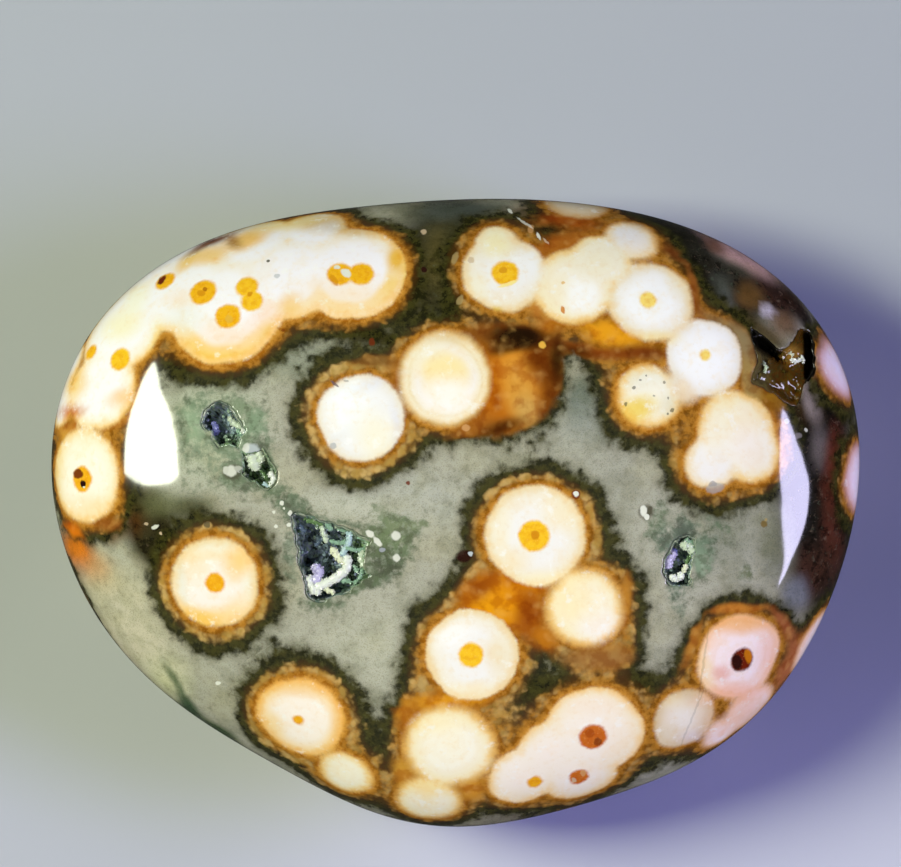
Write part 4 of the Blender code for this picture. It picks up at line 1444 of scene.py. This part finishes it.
    # the orb, gold and mottled towards its edge
    disc = s.color("disc_color")
    rings = s.node("ShaderNodeTexWave", {
        "Vector": s.node("ShaderNodeCombineXYZ", {0: s.sum(gap, s.off_middle(grain, 0.5))}).outputs[0],
        "Scale": 0.33, "Distortion": 0.0, "Detail": 0.0}, wave_type="BANDS", bands_direction="X").outputs[1]
    disc = s.mix(s.times(s.step(rings, 0.35, 0.9), s.measure("rings")), disc, paint(236, 208, 150), "MULTIPLY")
    rim = s.step(s.sum(gap, s.off_middle(grain, 0.5), s.off_middle(streak, 0.4)), -0.85, 0.05)
    disc = s.mix(s.times(rim, s.measure("gold")), disc, paint(252, 220, 140), "MULTIPLY")
    disc = s.mix(s.times(s.step(s.cloud(0.55, 3.0, 0.6), 0.48, 0.66), 0.22), disc, paint(254, 236, 196), "MULTIPLY")
    disc = s.mix(s.times(s.step(s.cloud(0.95, 3.0, 0.65), 0.56, 0.72), 0.5), disc, paint(252, 251, 250))
    disc = s.mix(s.times(s.step(s.cloud(2.2, 3.0, 0.6), 0.52, 0.7), 0.14), disc, paint(240, 222, 190), "MULTIPLY")
    disc = s.mix(s.times(s.step(s.cells(2.1), 0.08, 0.03), 0.2), disc, paint(150, 110, 96))
    soft = s.measure("soft")
    edge = s.sum(gap, s.off_middle(fine, 0.05), s.off_middle(streak, 0.16), s.off_middle(hair, 0.08))
    orb = s.step(edge, s.times(soft, 1.3), s.times(soft, -1.3))
    color = s.mix(orb, color, disc)
    # the eye
    eye_gap = s.sum(s.measure("eye_gap"), s.off_middle(grain, 0.16), s.off_middle(fine, 0.06))
    eye_color = s.mix(s.times(s.step(s.cloud(2.2, 3.0, 0.6), 0.42, 0.66), 0.45), s.color("eye_color"),
                      paint(240, 196, 130), "MULTIPLY")
    eye_color = s.mix(s.times(s.step(fine, 0.56, 0.7), 0.15), eye_color, paint(250, 214, 130))
    color = s.mix(s.step(eye_gap, 0.2, -0.16), color, eye_color)
    color = dotted(s, color)
    # the walls of the pits, their greens painted lighter than the green round them, as painted light that lifts the
    # shade in the gap inside each mouth
    pit = s.measure("pit")
    wall = s.mix(s.measure("corner"), s.mix(s.step(fine, 0.4, 0.6), paint(76, 100, 80), paint(132, 152, 130)),
                 s.mix(s.step(fine, 0.4, 0.6), paint(20, 14, 5), paint(92, 70, 28)))
    color = s.mix(s.step(pit, 0.03, 0.22), color, wall)
    bump = s.node("ShaderNodeBump", {"Height": s.cloud(0.5, 0.0), "Strength": 0.03, "Distance": 0.0003})
    rough = s.sum(0.05, s.times(s.step(pit, 0.0, 0.05), 0.6), s.times(fine, 0.03))
    return s.finish(color, rough, bump.outputs[0], IOR=1.54)


def quartz(name):
    """Small quartz crystals, tinted piece by piece."""
    s = Shading(name)
    tint = s.color("tint")
    grain = s.cloud(3.0, 3.0, 0.6)
    color = s.mix(s.times(s.step(grain, 0.5, 0.75), 0.35), tint, paint(250, 250, 246), "SOFT_LIGHT")
    bump = s.node("ShaderNodeBump", {"Height": s.cloud(4.5, 2.0, 0.5), "Strength": 0.2, "Distance": 0.0001})
    return s.finish(color, 0.12, bump.outputs[0], IOR=1.54)


# The stage: a pale floor, painted lighter towards the near side and the right as painted light, and two lamps whose
# shapes are those of the stone's two highlights.
def build_floor():
    reach = FLOOR_REACH * MM
    mesh = bpy.data.meshes.new("floor")
    corners = [(-reach, -reach, 0), (reach, -reach, 0), (reach, reach, 0), (-reach, reach, 0)]
    mesh.from_pydata(corners, [], [(0, 1, 2, 3)])
    s = Shading("floor_paper")
    place = s.node("ShaderNodeSeparateXYZ", {0: s.place}).outputs
    # painted light: the floor grows lighter towards the near side and the right
    near = s.mix(s.step(place[0], -26.0, 10.0), paint(*FLOOR_NEAR_LEFT), paint(*FLOOR_NEAR_RIGHT))
    color = s.mix(s.step(place[1], -2.0, -32.0), paint(*FLOOR_FAR), near)
    mesh.materials.append(s.finish(color, 0.8))
    paper = place_mesh(mesh)
    paper.visible_glossy = False
    return paper


def build_lamp(name, outline, way, distance, light, strength, lit=None, seen=True):
    """A glowing panel that faces the stone, seen from it this way: turn from +X and height above the ground."""
    turn, height = (math.radians(angle) for angle in way)
    axis = Vector((math.cos(turn) * math.cos(height), math.sin(turn) * math.cos(height), math.sin(height)))
    right = Vector((0.0, 0.0, 1.0)).cross(axis).normalized()
    up = axis.cross(right)
    line = closed_curve(outline, 4)
    points = [(axis * distance + right * float(x) + up * float(y)) * MM for x, y in line]
    mesh = bpy.data.meshes.new(name)
    mesh.from_pydata(points, [], [tuple(range(len(points)))])
    material = bpy.data.materials.new(name)
    material.use_nodes = True
    nodes = material.node_tree.nodes
    nodes.clear()
    glow = nodes.new("ShaderNodeEmission")
    glow.inputs["Color"].default_value = (*light, 1.0)
    glow.inputs["Strength"].default_value = strength
    output = nodes.new("ShaderNodeOutputMaterial")
    material.node_tree.links.new(glow.outputs[0], output.inputs[0])
    mesh.materials.append(material)
    lamp = place_mesh(mesh)
    lamp.visible_camera = False
    if lit:
        reached = bpy.data.collections.new(name + "_reach")
        for piece in lit:
            reached.objects.link(piece)
        lamp.light_linking.receiver_collection = reached
    lamp.visible_glossy = seen
    return lamp


def build_camera():
    camera = bpy.data.cameras.new("camera")
    camera.sensor_width = 36.0
    camera.lens = camera.sensor_width * CAMERA_DISTANCE / (PHOTO_SIZE[0] / PHOTO_SCALE)
    camera.clip_start, camera.clip_end = 0.05, 10.0
    seen = bpy.data.objects.new("camera", camera)
    seen.location = (AIM[0] * MM, AIM[1] * MM, (RIM_LEVEL + CAMERA_DISTANCE) * MM)
    bpy.context.scene.collection.objects.link(seen)
    bpy.context.scene.camera = seen


stone = build_stone()
stone.data.materials.append(jasper())
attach(stone, "root")
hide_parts("palm_stone")

pale_quartz = quartz("quartz_crystals")
brown_quartz = quartz("amber_crystals")
pieces = [stone]
for seed, name in enumerate(PITS):
    amber = name == "druse_corner"
    crust = build_crust(name, brown_quartz if amber else pale_quartz, 40 + seed)
    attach(crust, "root")
    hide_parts(name)
    pieces.append(crust)

floor = build_floor()
# The right lamp is a panel for the floor behind a less blue one for the stone, which lets the other's light past.
right_panel = build_lamp("lamp_right", LAMP_RIGHT, WAY_RIGHT, LAMP_DISTANCE, LIGHT_RIGHT, STRENGTH_RIGHT, pieces)
right_panel.visible_shadow = False
build_lamp("lamp_left", LAMP_LEFT, WAY_LEFT, LAMP_DISTANCE, LIGHT_LEFT, STRENGTH_LEFT)
build_lamp("lamp_right_floor", LAMP_RIGHT, WAY_RIGHT, LAMP_DISTANCE + PANELS_APART, LIGHT_RIGHT_FLOOR,
               STRENGTH_RIGHT, [floor])
build_lamp("lamp_fill", LAMP_FILL, WAY_FILL, FILL_DISTANCE, LIGHT_FILL, STRENGTH_FILL, pieces, False)
world = bpy.data.worlds.new("studio")
world.use_nodes = True
world.node_tree.nodes["Background"].inputs["Color"].default_value = (*AMBIENT_LIGHT, 1.0)
world.node_tree.nodes["Background"].inputs["Strength"].default_value = AMBIENT
bpy.context.scene.world = world
bpy.context.scene.view_settings.view_transform = "Standard"
build_camera()
